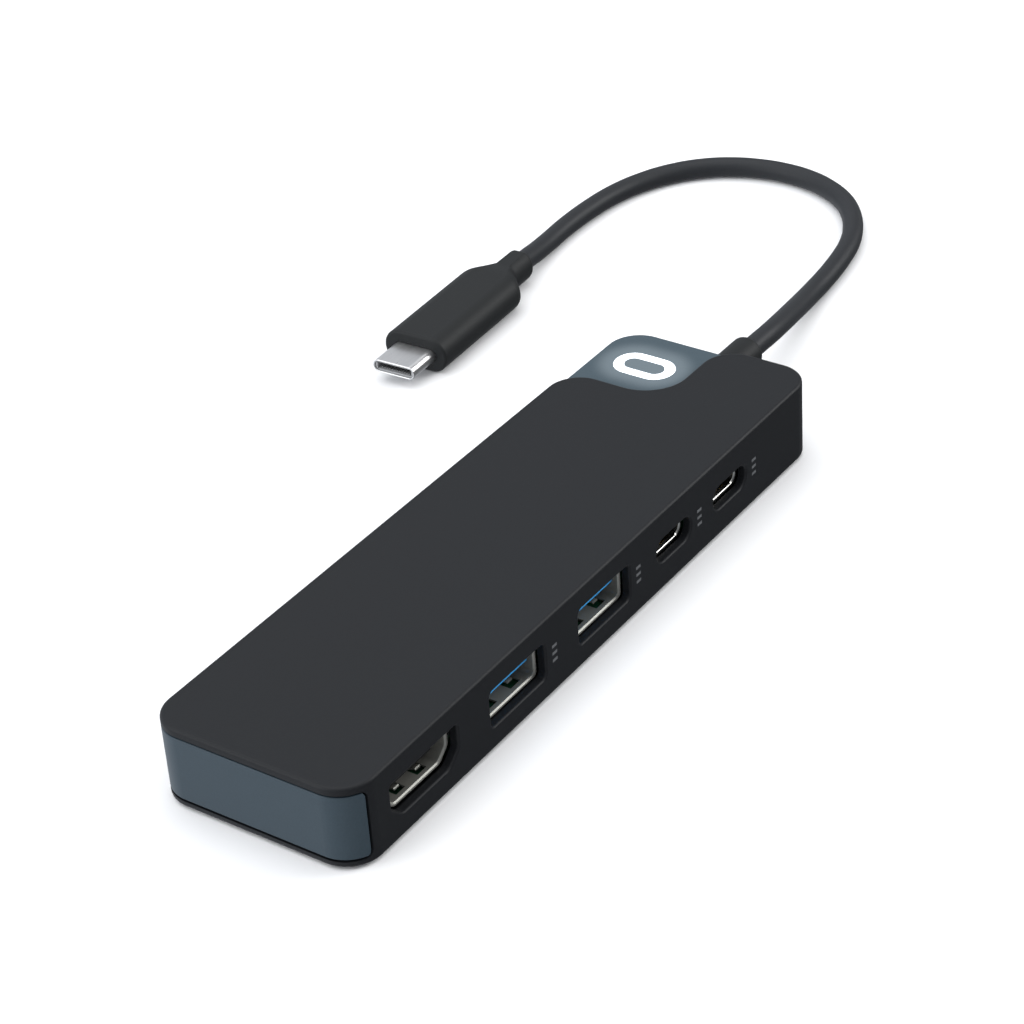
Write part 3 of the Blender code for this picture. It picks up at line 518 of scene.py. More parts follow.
# %% Ports: places and sizes
SHEET = 0.3 * MM
MOUTH_Y = LOW.y + WALL + GAP
HDMI_X = -45.3 * MM
USB_A_X = (-23.0 * MM, -0.7 * MM)
USB_C_X = (18.5 * MM, 34.75 * MM)
HDMI_SIZE = mm(13.9, 11.5, 4.55)
HDMI_FLOOR = 10.1 * MM
HDMI_SHOULDER = -0.68 * MM
USB_A_SIZE = mm(12.5, 13.4, 5.12)
USB_C_SIZE = mm(8.34, 7.6, 2.56)
USB_A_TONGUE = mm(11.1, 1.84)
USB_A_RISE = 0.98 * MM
USB_A_SETBACK = 0.7 * MM
HDMI_TONGUE = mm(10.4, 1.2)
USB_C_TONGUE = mm(6.69, 0.7)
TONGUE_SETBACK = 1.2 * MM
BACK_BLOCK = 2.4 * MM
LIP = 0.42 * MM
LIP_ZONE = 4 * MM
CUTOUT_HDMI_GROW = 0.75 * MM
CUTOUT_A, CUTOUT_A_CORNER = mm(13.65, 0, 6.05), 0.9 * MM
CUTOUT_C, CUTOUT_C_CORNER = mm(9.7, 0, 4.0), 2.0 * MM
SOFT_CORNER = 0.5 * MM
print("ports at", [round(x / MM, 2) for x in (HDMI_X, *USB_A_X, *USB_C_X)], "mm")

# %% Bars in the ports' outlines
def hdmi_block(name, grow, near, far):
    """A bar with the outline of an HDMI opening, its sides drawn outwards."""
    side = HDMI_SIZE.x / 2 + grow
    top = HDMI_SIZE.z / 2 + grow
    shoulder = HDMI_SHOULDER - 0.46 * grow
    foot = HDMI_FLOOR / 2 + 0.36 * grow
    bar = block(name, (HDMI_X - side, near, PORT_Z + shoulder), (HDMI_X + side, far, PORT_Z + top))
    pick(bar, "FACE", facing((0, 0, -1)))
    bpy.ops.mesh.extrude_region_move(TRANSFORM_OT_translate={"value": (0, 0, -top - shoulder)})
    bpy.ops.transform.resize(value=(foot / side, 1, 1), center_override=(HDMI_X, 0, PORT_Z))
    only(bar)
    return bar


def slot_block(name, x, size, radius, near, far, grow=0.0, steps=6):
    """A bar along Y with rounded corners, round the middle of a port."""
    across, up = size.x / 2 + grow, size.z / 2 + grow
    low = (x - across, near, PORT_Z - up)
    high = (x + across, far, PORT_Z + up)
    return rounded_block(name, low, high, min(radius, 0.998 * up), 1, steps)


print("bars: hdmi_block, slot_block")

# %% Port openings
near, far = LOW.y - BEYOND, LOW.y + WALL + MM
tools = [hdmi_block("hdmi_opening", CUTOUT_HDMI_GROW, near, far)]
round_edges(tools[0], running(1), SOFT_CORNER, 3)
for x in USB_A_X:
    tools.append(slot_block("usb_a_opening", x, CUTOUT_A, CUTOUT_A_CORNER, near, far))
for x in USB_C_X:
    tools.append(slot_block("usb_c_opening", x, CUTOUT_C, CUTOUT_C_CORNER, near, far))
carve(case, *tools)
pick(case, "FACE", facing((0, -1, 0)))
bpy.ops.mesh.dissolve_limited(angle_limit=math.radians(1))


def on_front(edge):
    """True for an edge in the plane of the front wall, inside its outline."""
    for v in edge.verts:
        in_plane = abs(v.co.y - LOW.y) < WALL / 50
        if not (in_plane and abs(v.co.z - PORT_Z) < LIP_ZONE and PANEL_END + MM < v.co.x < STEP_X):
            return False
    return True


round_edges(case, rim((0, -1, 0), on_front), LIP, 4)
finish(case, case_abs, "case_black", "top_case")

# %% [markdown]
# ## Port marks
#
# A small grey mark is pad-printed on the wall beside each USB port. It is only ink, so it is part of the
# plastic's material: the marks stand where a row of bands along the case crosses a stack of bands up it,
# and only on the front wall. Each one is three short bars. Thin pieces laid on the wall would flicker.

# %% Port marks
MARK_INK = "#57595b"
MARK_ASIDE = {USB_A_X: 9.1 * MM, USB_C_X: 7.2 * MM}
BAR_LONG, BAR_THICK, BAR_STEP = 1.2 * MM, 0.5 * MM, 1.2 * MM


def bands(tree, value, middles, width):
    """A mask, 1 within half a width of any of the middles and 0 elsewhere."""
    mask = 0.0
    for middle in middles:
        near = {0: value, 1: middle, 2: width / 2}
        near = add(tree, "ShaderNodeMath", near, operation="COMPARE").outputs[0]
        mask = add(tree, "ShaderNodeMath", {0: near, 1: mask}, operation="ADD").outputs[0]
    return mask


tree = case_abs.node_tree
place = add(tree, "ShaderNodeTexCoord").outputs["Object"]
axes = add(tree, "ShaderNodeSeparateXYZ", {0: place}).outputs
beside = sorted(x + aside for ports, aside in MARK_ASIDE.items() for x in ports)
stacked = [PORT_Z + n * BAR_STEP for n in (-1, 0, 1)]
along = bands(tree, axes["X"], beside, BAR_LONG)
upward = bands(tree, axes["Z"], stacked, BAR_THICK)
crossing = add(tree, "ShaderNodeMath", {0: along, 1: upward}, operation="MULTIPLY").outputs[0]
wall = add(tree, "ShaderNodeMath", {0: axes["Y"], 1: LOW.y + MM / 20}, operation="LESS_THAN").outputs[0]
inked = add(tree, "ShaderNodeMath", {0: crossing, 1: wall}, operation="MULTIPLY").outputs[0]
plastic = tree.nodes["Principled BSDF"].inputs["Base Color"]
ink = {"Factor": inked, "A": plastic.links[0].from_socket, "B": colour(MARK_INK)}
tree.links.new(add(tree, "ShaderNodeMix", ink, data_type="RGBA").outputs["Result"], plastic)
print("marks at", [round(x / MM, 1) for x in beside], "mm")

# %% [markdown]
# ## Slate end panel
#
# The panel is a separate moulding in a blue-grey plastic, let into the window round the end of the case
# and held by an arm inside each side wall. It follows both corners of the case, so it is cut from the same
# rounded box: hollowed, cut off behind the corners, and rounded at its four free corners. A curved sheet
# with Solidify would also do, but its ends would be harder to round.

# %% Panel
PANEL_CORNER = 0.9 * MM
slate_abs = grained("satin_slate_abs", "#2e3c45", 0.42, specular=0.3)
panel = rounded_block(
    "end_panel_moulding",
    (LOW.x, LOW.y, PANEL_LOW),
    (HIGH.x, HIGH.y, PANEL_HIGH),
    CORNER,
    2,
    CORNER_STEPS,
)
inside = rounded_block(
    "inside",
    (LOW.x + WALL, LOW.y + WALL, PANEL_LOW - BEYOND),
    (HIGH.x - WALL, HIGH.y - WALL, PANEL_HIGH + BEYOND),
    CORNER - WALL,
    2,
    CORNER_STEPS,
)
rest = block("rest", (PANEL_END, LOW.y - BEYOND, -BEYOND), (HIGH.x + BEYOND, HIGH.y + BEYOND, HIGH.z))
carve(panel, inside, rest)
free_corner = lambda edge: running(1)(edge) and all(abs(v.co.x - PANEL_END) < MM / 50 for v in edge.verts)
round_edges(panel, free_corner, PANEL_CORNER, 5)
arms = [block("arm", mm(-59.5, inner, 4.9), mm(-54.7, inner + 1.3, 9.4)) for inner in (14.1, -15.4)]
carve(panel, *arms, operation="UNION")


def sharp_outside(edge):
    """True for a sharp edge on the outer face of the case's walls."""
    if len(edge.link_faces) != 2 or edge.calc_face_angle() < math.radians(50):
        return False
    middle = (edge.verts[0].co + edge.verts[1].co) / 2
    inset = LOW.x + WALL / 2
    return abs(middle.y) > HIGH.y - WALL / 4 or middle.x < inset or outside_corner(middle)


def outside_corner(place):
    """True for a place on the outside of one of the rounded corners."""
    centre = Vector((HIGH.x - CORNER, HIGH.y - CORNER))
    away = Vector((abs(place.x), abs(place.y))) - centre
    return min(away) > 0 and away.length > CORNER - WALL / 4


round_edges(panel, sharp_outside, 0.2 * MM, 3)
finish(panel, slate_abs, "panel_slate", "end_panel")

# %% [markdown]
# ## Lit corner tile
#
# The tile is a plate of smoke-tinted polycarbonate over a small light guide. Its mark is set in a groove
# and lit from below, and the light spreads a little way into the plate. The glow is painted by distance:
# the material works out how far a point is from the mark's outline and fades a cool white over 4.4 mm. A
# light placed inside the plate would be truer, but takes far longer to render clean.

# %% Tile material
MARK_PLACE = (52.3 * MM, 8.6 * MM)
MARK_SIZE = (6.6 * MM, 10.6 * MM)
MARK_STROKE = 1.7 * MM
GLOW_REACH = 4.4 * MM

tile_pc = grained("smoked_polycarbonate", "#3d4b53", 0.35, depth=0.002 * MM, specular=0.3)
tree = tile_pc.node_tree
place = add(tree, "ShaderNodeTexCoord").outputs["Object"]
apart = add(tree, "ShaderNodeVectorMath", {0: place, 1: (*MARK_PLACE, 0)}, operation="SUBTRACT")
apart = add(tree, "ShaderNodeVectorMath", {0: apart.outputs[0]}, operation="ABSOLUTE")
straight = (0, (MARK_SIZE[1] - MARK_SIZE[0]) / 2, 1)
apart = add(tree, "ShaderNodeVectorMath", {0: apart.outputs[0], 1: straight}, operation="SUBTRACT")
apart = add(tree, "ShaderNodeVectorMath", {0: apart.outputs[0], 1: (0, 0, 0)}, operation="MAXIMUM")
away = add(tree, "ShaderNodeVectorMath", {0: apart.outputs[0]}, operation="LENGTH")
fade = add(
    tree,
    "ShaderNodeMapRange",
    {
        "Value": away.outputs["Value"],
        "From Min": MARK_SIZE[0] / 2,
        "From Max": MARK_SIZE[0] / 2 + GLOW_REACH,
        "To Min": 1.0,
        "To Max": 0.0,
    },
    interpolation_type="SMOOTHERSTEP",
)
glow = add(
    tree,
    "ShaderNodeMix",
    {"Factor": fade.outputs["Result"], "A": (0, 0, 0, 1), "B": colour("#a2abb0")},
    data_type="RGBA",
)
shader = tree.nodes["Principled BSDF"]
tree.links.new(glow.outputs["Result"], shader.inputs["Emission Color"])
shader.inputs["Emission Strength"].default_value = 0.3
print("the glow reaches", GLOW_REACH / MM, "mm")

# %% [markdown]
# ## Tile and mark
#
# In plan the tile is a square with one corner that follows the case. The mark is a ring with straight
# sides: a rod pulled apart along Y gives its outline, and a thinner one cuts the middle out. The groove
# for it in the tile is the same ring, 0.06 mm larger all round.

# %% The mark's outline
def stadium(name, low, high, grow=0.0, sides=48):
    """An upright bar round the mark's place, its round ends pulled apart along Y."""
    radius = MARK_SIZE[0] / 2 + grow
    pull = (MARK_SIZE[1] - MARK_SIZE[0]) / 2
    bar = rod(name, (*MARK_PLACE, low), high - low, radius, 2, sides)
    for side in (-1, 1):
        pick(bar, "VERT", lambda v: (v.co.y - MARK_PLACE[1]) * side > MM / 1000)
        bpy.ops.transform.translate(value=(0, side * pull, 0))
    only(bar)
    return bar


def ring(name, low, high, grow=0.0):
    """The mark's ring between two heights, grown to both sides."""
    outer = stadium(name, low, high, grow)
    carve(outer, stadium("middle", low - MM, high + MM, -MARK_STROKE - grow))
    return outer


print("mark in mm:", [round(side / MM, 1) for side in MARK_SIZE])

# %% Tile and mark
GROOVE_FLOOR = 11.5 * MM
GROOVE_PLAY = 0.06 * MM
MARK_LIFT = 0.1 * MM
tile = block("lit_tile", TILE_LOW, TILE_HIGH)
corner_edge = lambda edge: running(2)(edge) and min(edge.verts[0].co.x, edge.verts[0].co.y * 3) > 45 * MM
round_edges(tile, corner_edge, CORNER, CORNER_STEPS)
round_edges(tile, rim((0, 0, 1)), 0.25 * MM, 3)
round_edges(tile, rim((0, 0, -1)), 0.1 * MM, 1)
carve(tile, ring("groove", GROOVE_FLOOR, TILE_HIGH.z + MM, GROOVE_PLAY))
finish(tile, tile_pc, "tile_slate", "corner_tile")

opal_light = shaded(
    "opal_acrylic_lit",
    Base_Color=colour("#f4f8ff"),
    Roughness=0.35,
    Emission_Color=colour("#f7fbff"),
    Emission_Strength=1.6,
)[0]
mark = ring("lit_mark", GROOVE_FLOOR + MARK_LIFT, TILE_HIGH.z)
round_edges(mark, rim((0, 0, 1)), 0.1 * MM, 2)
finish(mark, opal_light, "emblem_light", "lit_emblem")

# %% [markdown]
# ## Port shells
#
# Each port has a drawn shell of nickel-plated steel behind its opening. The plating is a metal shader
# with fine drawing lines along the port, in the colour, the gloss and the bump. The larger shells are
# duller than pure metal would be, because their insides are seen, and those are never polished.

# %% Nickel-plated steel
def plated(name, code, roughness, across, along, depth=0.0005 * MM, metallic=1.0):
    """Plated metal: fine drawn lines that run one way, in the bump and in the gloss."""
    made, tree, shader = shaded(name, Metallic=metallic)
    place = add(tree, "ShaderNodeTexCoord").outputs["Object"]
    scale = [1 / size for size in (across, along, across)]
    turned = add(tree, "ShaderNodeMapping", {"Vector": place, "Scale": scale})
    turned = turned.outputs["Vector"]
    lines = add(tree, "ShaderNodeTexNoise", {"Vector": turned, "Scale": 1.0, "Detail": 3.0})
    base = colour(code)
    dull = (*[c * 0.85 for c in base[:3]], 1)
    tint = {"Factor": lines.outputs["Fac"], "A": dull, "B": base}
    tint = add(tree, "ShaderNodeMix", tint, data_type="RGBA")
    tree.links.new(tint.outputs["Result"], shader.inputs["Base Color"])
    gloss = add(
        tree,
        "ShaderNodeMapRange",
        {"Value": lines.outputs["Fac"], "To Min": roughness - 0.06, "To Max": roughness + 0.06},
    )
    tree.links.new(gloss.outputs["Result"], shader.inputs["Roughness"])
    bump = add(tree, "ShaderNodeBump", {"Height": lines.outputs["Fac"], "Distance": depth})
    tree.links.new(bump.outputs["Normal"], shader.inputs["Normal"])
    return made


LINE_WIDTH, LINE_LENGTH = 0.25 * MM, 4 * MM
nickel = plated("nickel_plated_steel", "#9a9a94", 0.44, LINE_WIDTH, LINE_LENGTH, metallic=0.55)
bright_nickel = plated("bright_nickel_plated_steel", "#c4c4c0", 0.22, LINE_WIDTH, LINE_LENGTH)
print("lines across in mm:", LINE_WIDTH / MM)

# %% [markdown]
# ## Port shells
#
# A shell is a bar with the port's outline whose two ends are inset and bridged, which leaves a tube with
# a thin wall. Its front is widened a little, as on drawn sheet, and the rounded rim catches a line of
# light. HDMI and USB-A have spring fingers in their floor: a window is cut for each, and a finger is
# extruded forwards in a few steps, up to grip the plug and down again at its tip.

# %% Tubes
FLARE = 0.25 * MM


def hollowed(bar, middle, wall, flare=FLARE):
    """Makes a bar along Y a tube, whose front end opens outwards a little and has a rounded rim."""
    front = min(v.co.y for v in bar.data.vertices)
    pick(bar, "FACE", lambda face: abs(face.normal.y) > 0.99)
    bpy.ops.mesh.inset(thickness=wall)
    bpy.ops.mesh.bridge_edge_loops()
    pick(bar, "FACE", facing((0, -1, 0)))
    across = max(abs(v.co.x - middle.x) for v in bar.data.vertices)
    up = max(abs(v.co.z - middle.z) for v in bar.data.vertices)
    bpy.ops.transform.translate(value=(0, flare, 0))
    bpy.ops.mesh.extrude_region_move(TRANSFORM_OT_translate={"value": (0, -flare, 0)})
    scale = (1 + flare / across, 1, 1 + flare / up)
    bpy.ops.transform.resize(value=scale, center_override=middle)
    only(bar)
    front_rim = rim((0, -1, 0), lambda edge: all(v.co.y < front + MM / 100 for v in edge.verts))
    round_edges(bar, front_rim, wall / 3, 2)
    return bar


print("mouth widened by", FLARE / MM, "mm")

# %% Spring fingers
SPRING_BENDS = [(0.2, 0.2), (0.2, 0.25), (0.12, 0.15), (0.1, 0.02), (0.06, -0.12)]


def add_spring(shell, x, start, width, reach):
    """A window in a shell's floor, a start behind its mouth, with a spring finger that is bent up."""
    inside_floor = min(v.co.z for v in shell.data.vertices) + SHEET
    near, far = MOUTH_Y + start, MOUTH_Y + start + reach
    low = (x - width / 2, near, inside_floor - 2 * SHEET)
    carve(shell, block("window", low, (x + width / 2, far, inside_floor + SHEET)))
    side = 0.26 * width
    low = (x - side, far - SHEET / 2, inside_floor - 0.9 * SHEET)
    finger = block("finger", low, (x + side, far + SHEET, inside_floor - 0.1 * SHEET))
    pick(finger, "FACE", facing((0, -1, 0)))
    for back, up in SPRING_BENDS:
        step = (0, -back * reach, up * MM)
        bpy.ops.mesh.extrude_region_move(TRANSFORM_OT_translate={"value": step})
    only(finger)
    carve(shell, finger, operation="UNION")


print("finger rises by", round(sum(up for _, up in SPRING_BENDS), 2), "mm at its tip")

# %% Port shells
HDMI_SPRINGS = (-2.45 * MM, 2.45 * MM)
USB_A_SPRINGS = (-2.9 * MM, 2.9 * MM)
USB_A_CORNER = 0.8 * MM
hdmi_tube = hdmi_block("hdmi_port_shell", SHEET, MOUTH_Y, MOUTH_Y + HDMI_SIZE.y)
round_edges(hdmi_tube, running(1), SOFT_CORNER, 4)
hollowed(hdmi_tube, Vector((HDMI_X, 0, PORT_Z)), SHEET)
for aside in HDMI_SPRINGS:
    add_spring(hdmi_tube, HDMI_X + aside, 0.9 * MM, 2.1 * MM, 2.6 * MM)
finish(hdmi_tube, nickel, "port_shell", "hdmi_shell")
for number, x in enumerate(USB_A_X, 1):
    name = f"usb_a_port_shell_{number}"
    shell = slot_block(name, x, USB_A_SIZE, USB_A_CORNER, MOUTH_Y, MOUTH_Y + USB_A_SIZE.y, SHEET, 5)
    hollowed(shell, Vector((x, 0, PORT_Z)), SHEET)
    for aside in USB_A_SPRINGS:
        add_spring(shell, x + aside, 1.0 * MM, 2.4 * MM, 3.6 * MM)
    finish(shell, nickel, "port_shell", f"usb_a_shell_{number}")
for number, x in enumerate(USB_C_X, 1):
    name = f"usb_c_port_shell_{number}"
    shell = slot_block(name, x, USB_C_SIZE, USB_C_SIZE.z, MOUTH_Y, MOUTH_Y + USB_C_SIZE.y, SHEET, 10)
    hollowed(shell, Vector((x, 0, PORT_Z)), SHEET)
    finish(shell, bright_nickel, "port_shell", f"usb_c_shell_{number}")

# %% [markdown]
# ## Plug overmould
#
# The grip of the plug is a soft thermoplastic rubber moulded over the metal. It has the section of a
# flattened tube, round at both sides, and narrows to a round neck. A bar with rounded edges gives the
# section, and its end face is then extruded and scaled step by step, pulled rounder at every step.

# %% Where the plug lies
PLUG_PLACE = mm(51.0, 54.0, 3.2)
PLUG_YAW = math.radians(2.6)


def lay_plug(piece):
    """Moves a piece that was modelled round the plug's own axis to where the plug lies."""
    only(piece)
    piece.rotation_euler = (0, 0, PLUG_YAW)
    piece.location = PLUG_PLACE
    bpy.ops.object.transform_apply(location=True, rotation=True, scale=True)


print("plug turned by", round(math.degrees(PLUG_YAW), 1), "degrees")

# %% Plug overmould: bar and shoulder
GRIP_SIZE = (12.4 * MM, 6.4 * MM)
GRIP_SIDE = 3.1 * MM
GRIP_END = 23.4 * MM
SHOULDER = [  # along the plug, width, height and how round the section is
    (24.1, 12.28, 6.39, 0.0),
    (24.8, 11.8, 6.36, 0.0),
    (25.4, 10.9, 6.3, 0.05),
    (26.0, 9.75, 6.2, 0.1),
    (26.6, 8.55, 6.05, 0.2),
    (27.2, 7.4, 5.86, 0.35),
    (27.8, 6.45, 5.64, 0.6),
    (28.3, 5.85, 5.48, 0.8),
    (28.7, 5.5, 5.41, 1.0),
    (29.1, 5.4, 5.4, 1.0),
    (33.9, 5.4, 5.4, 1.0),
    (34.3, 5.28, 5.28, 1.0),
    (34.55, 5.0, 5.0, 1.0),
    (34.7, 4.5, 4.5, 1.0),
]


def section_size(piece, x):
    """Width and height of a piece's section at a place along it."""
    points = [v.co for v in bmesh.from_edit_mesh(piece.data).verts if abs(v.co.x - x) < MM / 100]
    return max(p.y for p in points) * 2, max(p.z for p in points) * 2


grip = rounded_block(
    "plug_grip",
    (0, -GRIP_SIZE[0] / 2, -GRIP_SIZE[1] / 2),
    (GRIP_END, GRIP_SIZE[0] / 2, GRIP_SIZE[1] / 2),
    GRIP_SIDE,
    0,
    12,
)
pick(grip, "FACE", facing((1, 0, 0)))
reached = GRIP_END
for along, width, height, roundness in SHOULDER:
    bpy.ops.mesh.extrude_region_move(TRANSFORM_OT_translate={"value": (along * MM - reached, 0, 0)})
    reached = along * MM
    if roundness:
        bpy.ops.transform.tosphere(value=roundness, center_override=(reached, 0, 0))
    wide, tall = section_size(grip, reached)
    scale = (1, width * MM / wide, height * MM / tall)
    bpy.ops.transform.resize(value=scale, center_override=(reached, 0, 0))
only(grip)
print("shoulder steps:", len(SHOULDER))

# %% Plug overmould: rim and slot
GRIP_RIM = 0.5 * MM
SLOT_HALF = mm(0, 4.225, 1.3)
round_edges(grip, rim((-1, 0, 0)), GRIP_RIM, 4)
slot_low, slot_high = mm(-1, 0, 0) - SLOT_HALF, mm(3.5, 0, 0) + SLOT_HALF
slot = rounded_block("slot", slot_low, slot_high, 0.996 * SLOT_HALF.z, 0, 8)
carve(grip, slot)
lay_plug(grip)
tpe = grained("soft_touch_tpe", "#1c1e1f", 0.55, specular=0.22)
finish(grip, tpe, "plug_black", "plug_overmold", angle=50)

# %% [markdown]
# ## Plug metal
#
# The metal of the plug is one drawn and polished tube with an insulator inside it, and a row of contacts
# above and below its mouth. The rim of the tube is rounded well, because it has to find its way in.

# %% Plug metal
PLUG_TIP = -6.65 * MM
PLUG_ROOT = 3.2 * MM
PLUG_WALL = 0.28 * MM
PLUG_RIM = 0.13 * MM
polished = plated("polished_stainless_steel", "#e0e0e0", 0.3, 4 * MM, 0.3 * MM, 0.0001 * MM, 0.95)
half = mm(0, 8.25 / 2, 2.4 / 2)
low, high = Vector((PLUG_TIP, 0, 0)) - half, Vector((PLUG_ROOT, 0, 0)) + half
tongue_shell = rounded_block("plug_metal", low, high, 0.998 * half.z, 0, 10)
pick(tongue_shell, "FACE", lambda face: abs(face.normal.x) > 0.99)
bpy.ops.mesh.inset(thickness=PLUG_WALL)
bpy.ops.mesh.bridge_edge_loops()
only(tongue_shell)
tip_rim = rim((-1, 0, 0), lambda edge: edge.verts[0].co.x < PLUG_TIP + MM / 100)
round_edges(tongue_shell, tip_rim, PLUG_RIM, 4)
lay_plug(tongue_shell)
finish(tongue_shell, polished, "plug_steel", "plug_shell")

# %% [markdown]
# ## Sleeve
#
# Where the lead leaves the case it is gripped by a short sleeve of the same soft plastic. It is a turned
# shape: a rod, extruded and scaled to its flange inside the wall and to its rounded end outside.

# %% Sleeve
SLEEVE_RADIUS = 2.9 * MM
FLANGE_RADIUS = 3.9 * MM
SLEEVE_END = 72.4 * MM
SLEEVE_ROUNDING = 1.2 * MM
flange_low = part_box("cable_boot")[0][0]
flange_high = HIGH.x - WALL - GAP
sleeve = rod("lead_sleeve", (flange_low, LEAD_Y, PORT_Z), flange_high - flange_low, FLANGE_RADIUS, 0, 48)
pick(sleeve, "FACE", facing((1, 0, 0)))
bpy.ops.mesh.inset(thickness=FLANGE_RADIUS - SLEEVE_RADIUS)
bpy.ops.mesh.extrude_region_move(TRANSFORM_OT_translate={"value": (SLEEVE_END - flange_high, 0, 0)})
round_edges(sleeve, rim((1, 0, 0), lambda edge: edge.verts[0].co.x > HIGH.x), SLEEVE_ROUNDING, 8)
finish(sleeve, tpe, "boot_black", "cable_boot")

# %% [markdown]
# ## Port insulators
#
# Inside each shell a moulded insulator closes the back and carries a tongue with the contacts. HDMI and
# USB-C have black ones, and USB-A has the blue that marks its faster kind. Only the front of the tongue
# is seen, so the tongue is a bar with soft edges joined to a plain back block.

# %% Tongue plastics
pbt_blue = grained("glass_filled_blue_pbt", "#2f97d8", 0.4, specular=0.5)
lcp_black = grained("black_lcp", "#141516", 0.5, specular=0.4)
lcp_grey = grained("grey_lcp", "#9a9b9c", 0.5, specular=0.4)
print("plastics:", pbt_blue.name, lcp_black.name, lcp_grey.name)

# %% Insulators


def insulator(name, back, tongue_low, tongue_high, rounding):
    """A back block with a soft-edged tongue in front of it."""
    tongue = block(name, tongue_low, tongue_high)
    front = tongue_low.y
    round_edges(tongue, lambda edge: any(v.co.y < front + MM / 100 for v in edge.verts), rounding, 3)
    carve(tongue, back, operation="UNION")
    return tongue


def tongue_corners(x, setback, size, rise, depth):
    """The low and high corner of a port's tongue, from its size and how far it lies above the middle."""
    low = Vector((x - size[0] / 2, MOUTH_Y + setback, PORT_Z + rise - size[1] / 2))
    high = Vector((x + size[0] / 2, MOUTH_Y + depth - 1.2 * MM, PORT_Z + rise + size[1] / 2))
    return low, high


back = hdmi_block("back", -GAP, MOUTH_Y + HDMI_SIZE.y - BACK_BLOCK, MOUTH_Y + HDMI_SIZE.y - GAP)
low, high = tongue_corners(HDMI_X, TONGUE_SETBACK, HDMI_TONGUE, 0, HDMI_SIZE.y)
finish(insulator("hdmi_tongue", back, low, high, 0.12 * MM), lcp_black, "insulator_black", "hdmi_insulator")
for number, x in enumerate(USB_C_X, 1):
    back_low, back_high = MOUTH_Y + USB_C_SIZE.y - BACK_BLOCK, MOUTH_Y + USB_C_SIZE.y - GAP
    back = slot_block("back", x, USB_C_SIZE, USB_C_SIZE.z, back_low, back_high, -GAP, 4)
    low, high = tongue_corners(x, TONGUE_SETBACK, USB_C_TONGUE, 0, USB_C_SIZE.y)
    piece = insulator(f"usb_c_tongue_{number}", back, low, high, 0.1 * MM)
    finish(piece, lcp_black, "insulator_black", f"usb_c_insulator_{number}")
for number, x in enumerate(USB_A_X, 1):
    back_low, back_high = MOUTH_Y + USB_A_SIZE.y - BACK_BLOCK, MOUTH_Y + USB_A_SIZE.y - GAP
    back = slot_block("back", x, USB_A_SIZE, 0.4 * MM, back_low, back_high, -GAP, 3)
    low, high = tongue_corners(x, USB_A_SETBACK, USB_A_TONGUE, USB_A_RISE, USB_A_SIZE.y)
    piece = insulator(f"usb_a_tongue_{number}", back, low, high, 0.06 * MM)
    finish(piece, pbt_blue, "insulator_blue", f"usb_a_insulator_{number}")

# %% [markdown]
# ## Finishes for the carried-over parts
#
# What lies inside the case keeps its CAD shape: the board, its components, the screws, the wires and the
# contacts. Each gets the finish of the real part. The board has a green solder mask with faint copper
# tracks under it, the chips are moulded epoxy, and the contacts are gold over nickel.

# %% Board finish
TRACK_PITCH = 4 * MM


def board_mask():
    """Solder mask over copper: two greens that meet at the edges of square tracks."""
    made, tree, shader = shaded("solder_mask_on_fr4", Roughness=0.35)
    place = add(tree, "ShaderNodeTexCoord").outputs["Object"]
    tracks = add(
        tree,
        "ShaderNodeTexBrick",
        {
            "Vector": place,
            "Color1": colour("#0a3420"),
            "Color2": colour("#082b1a"),
            "Mortar": colour("#12492e"),
            "Scale": 1 / TRACK_PITCH,
            "Mortar Size": 0.03,
        },
    )
    tree.links.new(tracks.outputs["Color"], shader.inputs["Base Color"])
    bump = add(tree, "ShaderNodeBump", {"Height": tracks.outputs["Fac"], "Distance": 0.02 * MM})
    tree.links.new(bump.outputs["Normal"], shader.inputs["Normal"])
    return made


solder_mask = board_mask()
print("track pitch in mm:", TRACK_PITCH / MM)

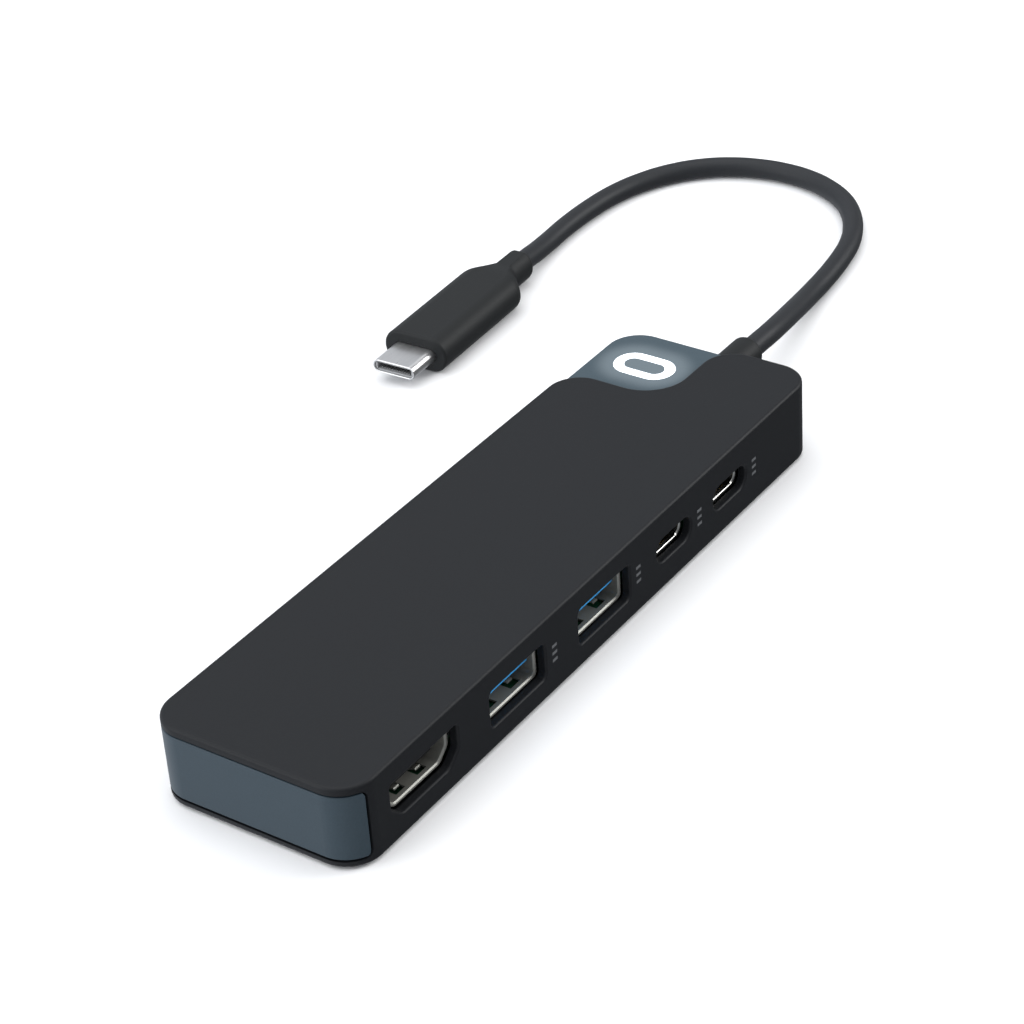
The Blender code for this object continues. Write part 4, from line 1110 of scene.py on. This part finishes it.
# %% Finishes of the small parts
gold = plated("gold_flashed_bronze", "#e2b65a", 0.28, 0.2 * MM, 2 * MM)
epoxy = grained("moulded_epoxy", "#232427", 0.5, specular=0.4)
ferrite = grained("sintered_ferrite", "#4b4c50", 0.6, specular=0.4)
ceramic = grained("fired_ceramic", "#a88a63", 0.45)
zinc = plated("zinc_plated_steel", "#c9ccd0", 0.3, 0.3 * MM, 0.3 * MM)
pvc_red = grained("red_pvc", "#a32a20", 0.4)
milky = grained("milky_acrylic", "#e9edf0", 0.3, Transmission_Weight=0.4)
lens = grained("led_silicone", "#f3ecc8", 0.3)
rubber = grained("moulded_rubber", "#1b1b1c", 0.75, grain=0.5 * MM, depth=0.01 * MM, specular=0.3)
cover_abs = grained("spark_eroded_cover_abs", "#18191b", 0.55, specular=0.3)
print("small parts in", zinc.name, epoxy.name, rubber.name)

# %% Carried-over parts
CARRIED = {
    "main_board": solder_mask,
    "plug_board": solder_mask,
    "bottom_cover": cover_abs,
    "clock_crystal": zinc,
    "light_guide": milky,
    "plug_insulator": lcp_grey,
    **{name: epoxy for name in ("hub_chip", "video_chip", "power_chip", "memory_chip")},
    **{f"capacitor_{n}": ceramic for n in range(1, 7)},
    **{f"board_screw_{n}": zinc for n in range(1, 5)},
    **{f"lead_wire_{n}": pvc_red for n in range(1, 6)},
    **{f"power_coil_{n}": ferrite for n in (1, 2)},
    **{f"status_led_{n}": lens for n in (1, 2)},
    **{f"rubber_foot_{n}": rubber for n in (1, 2)},
    **{f"usb_c_base_{n}": lcp_black for n in (1, 2)},
    "hdmi_contacts": gold,
    "plug_contacts": polished,
    **{f"usb_{kind}_contacts_{n}": gold for kind in "ac" for n in (1, 2)},
}
for name, material in CARRIED.items():
    node = bpy.data.objects[name]
    node.data.materials.clear()
    node.data.materials.append(material)
print("carried over:", len(CARRIED))

# %% [markdown]
# ## The lead's jacket
#
# The jacket is extruded from the same soft plastic as the sleeve and the plug, so it has no pattern, only
# a fine even grain and a slightly uneven gloss.

# %% Lead jacket
jacket = grained("extruded_tpe_jacket", "#242629", 0.5, grain=0.4 * MM, specular=0.25)
line.materials.append(jacket)
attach(lead_cord, "root")
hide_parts("cord")
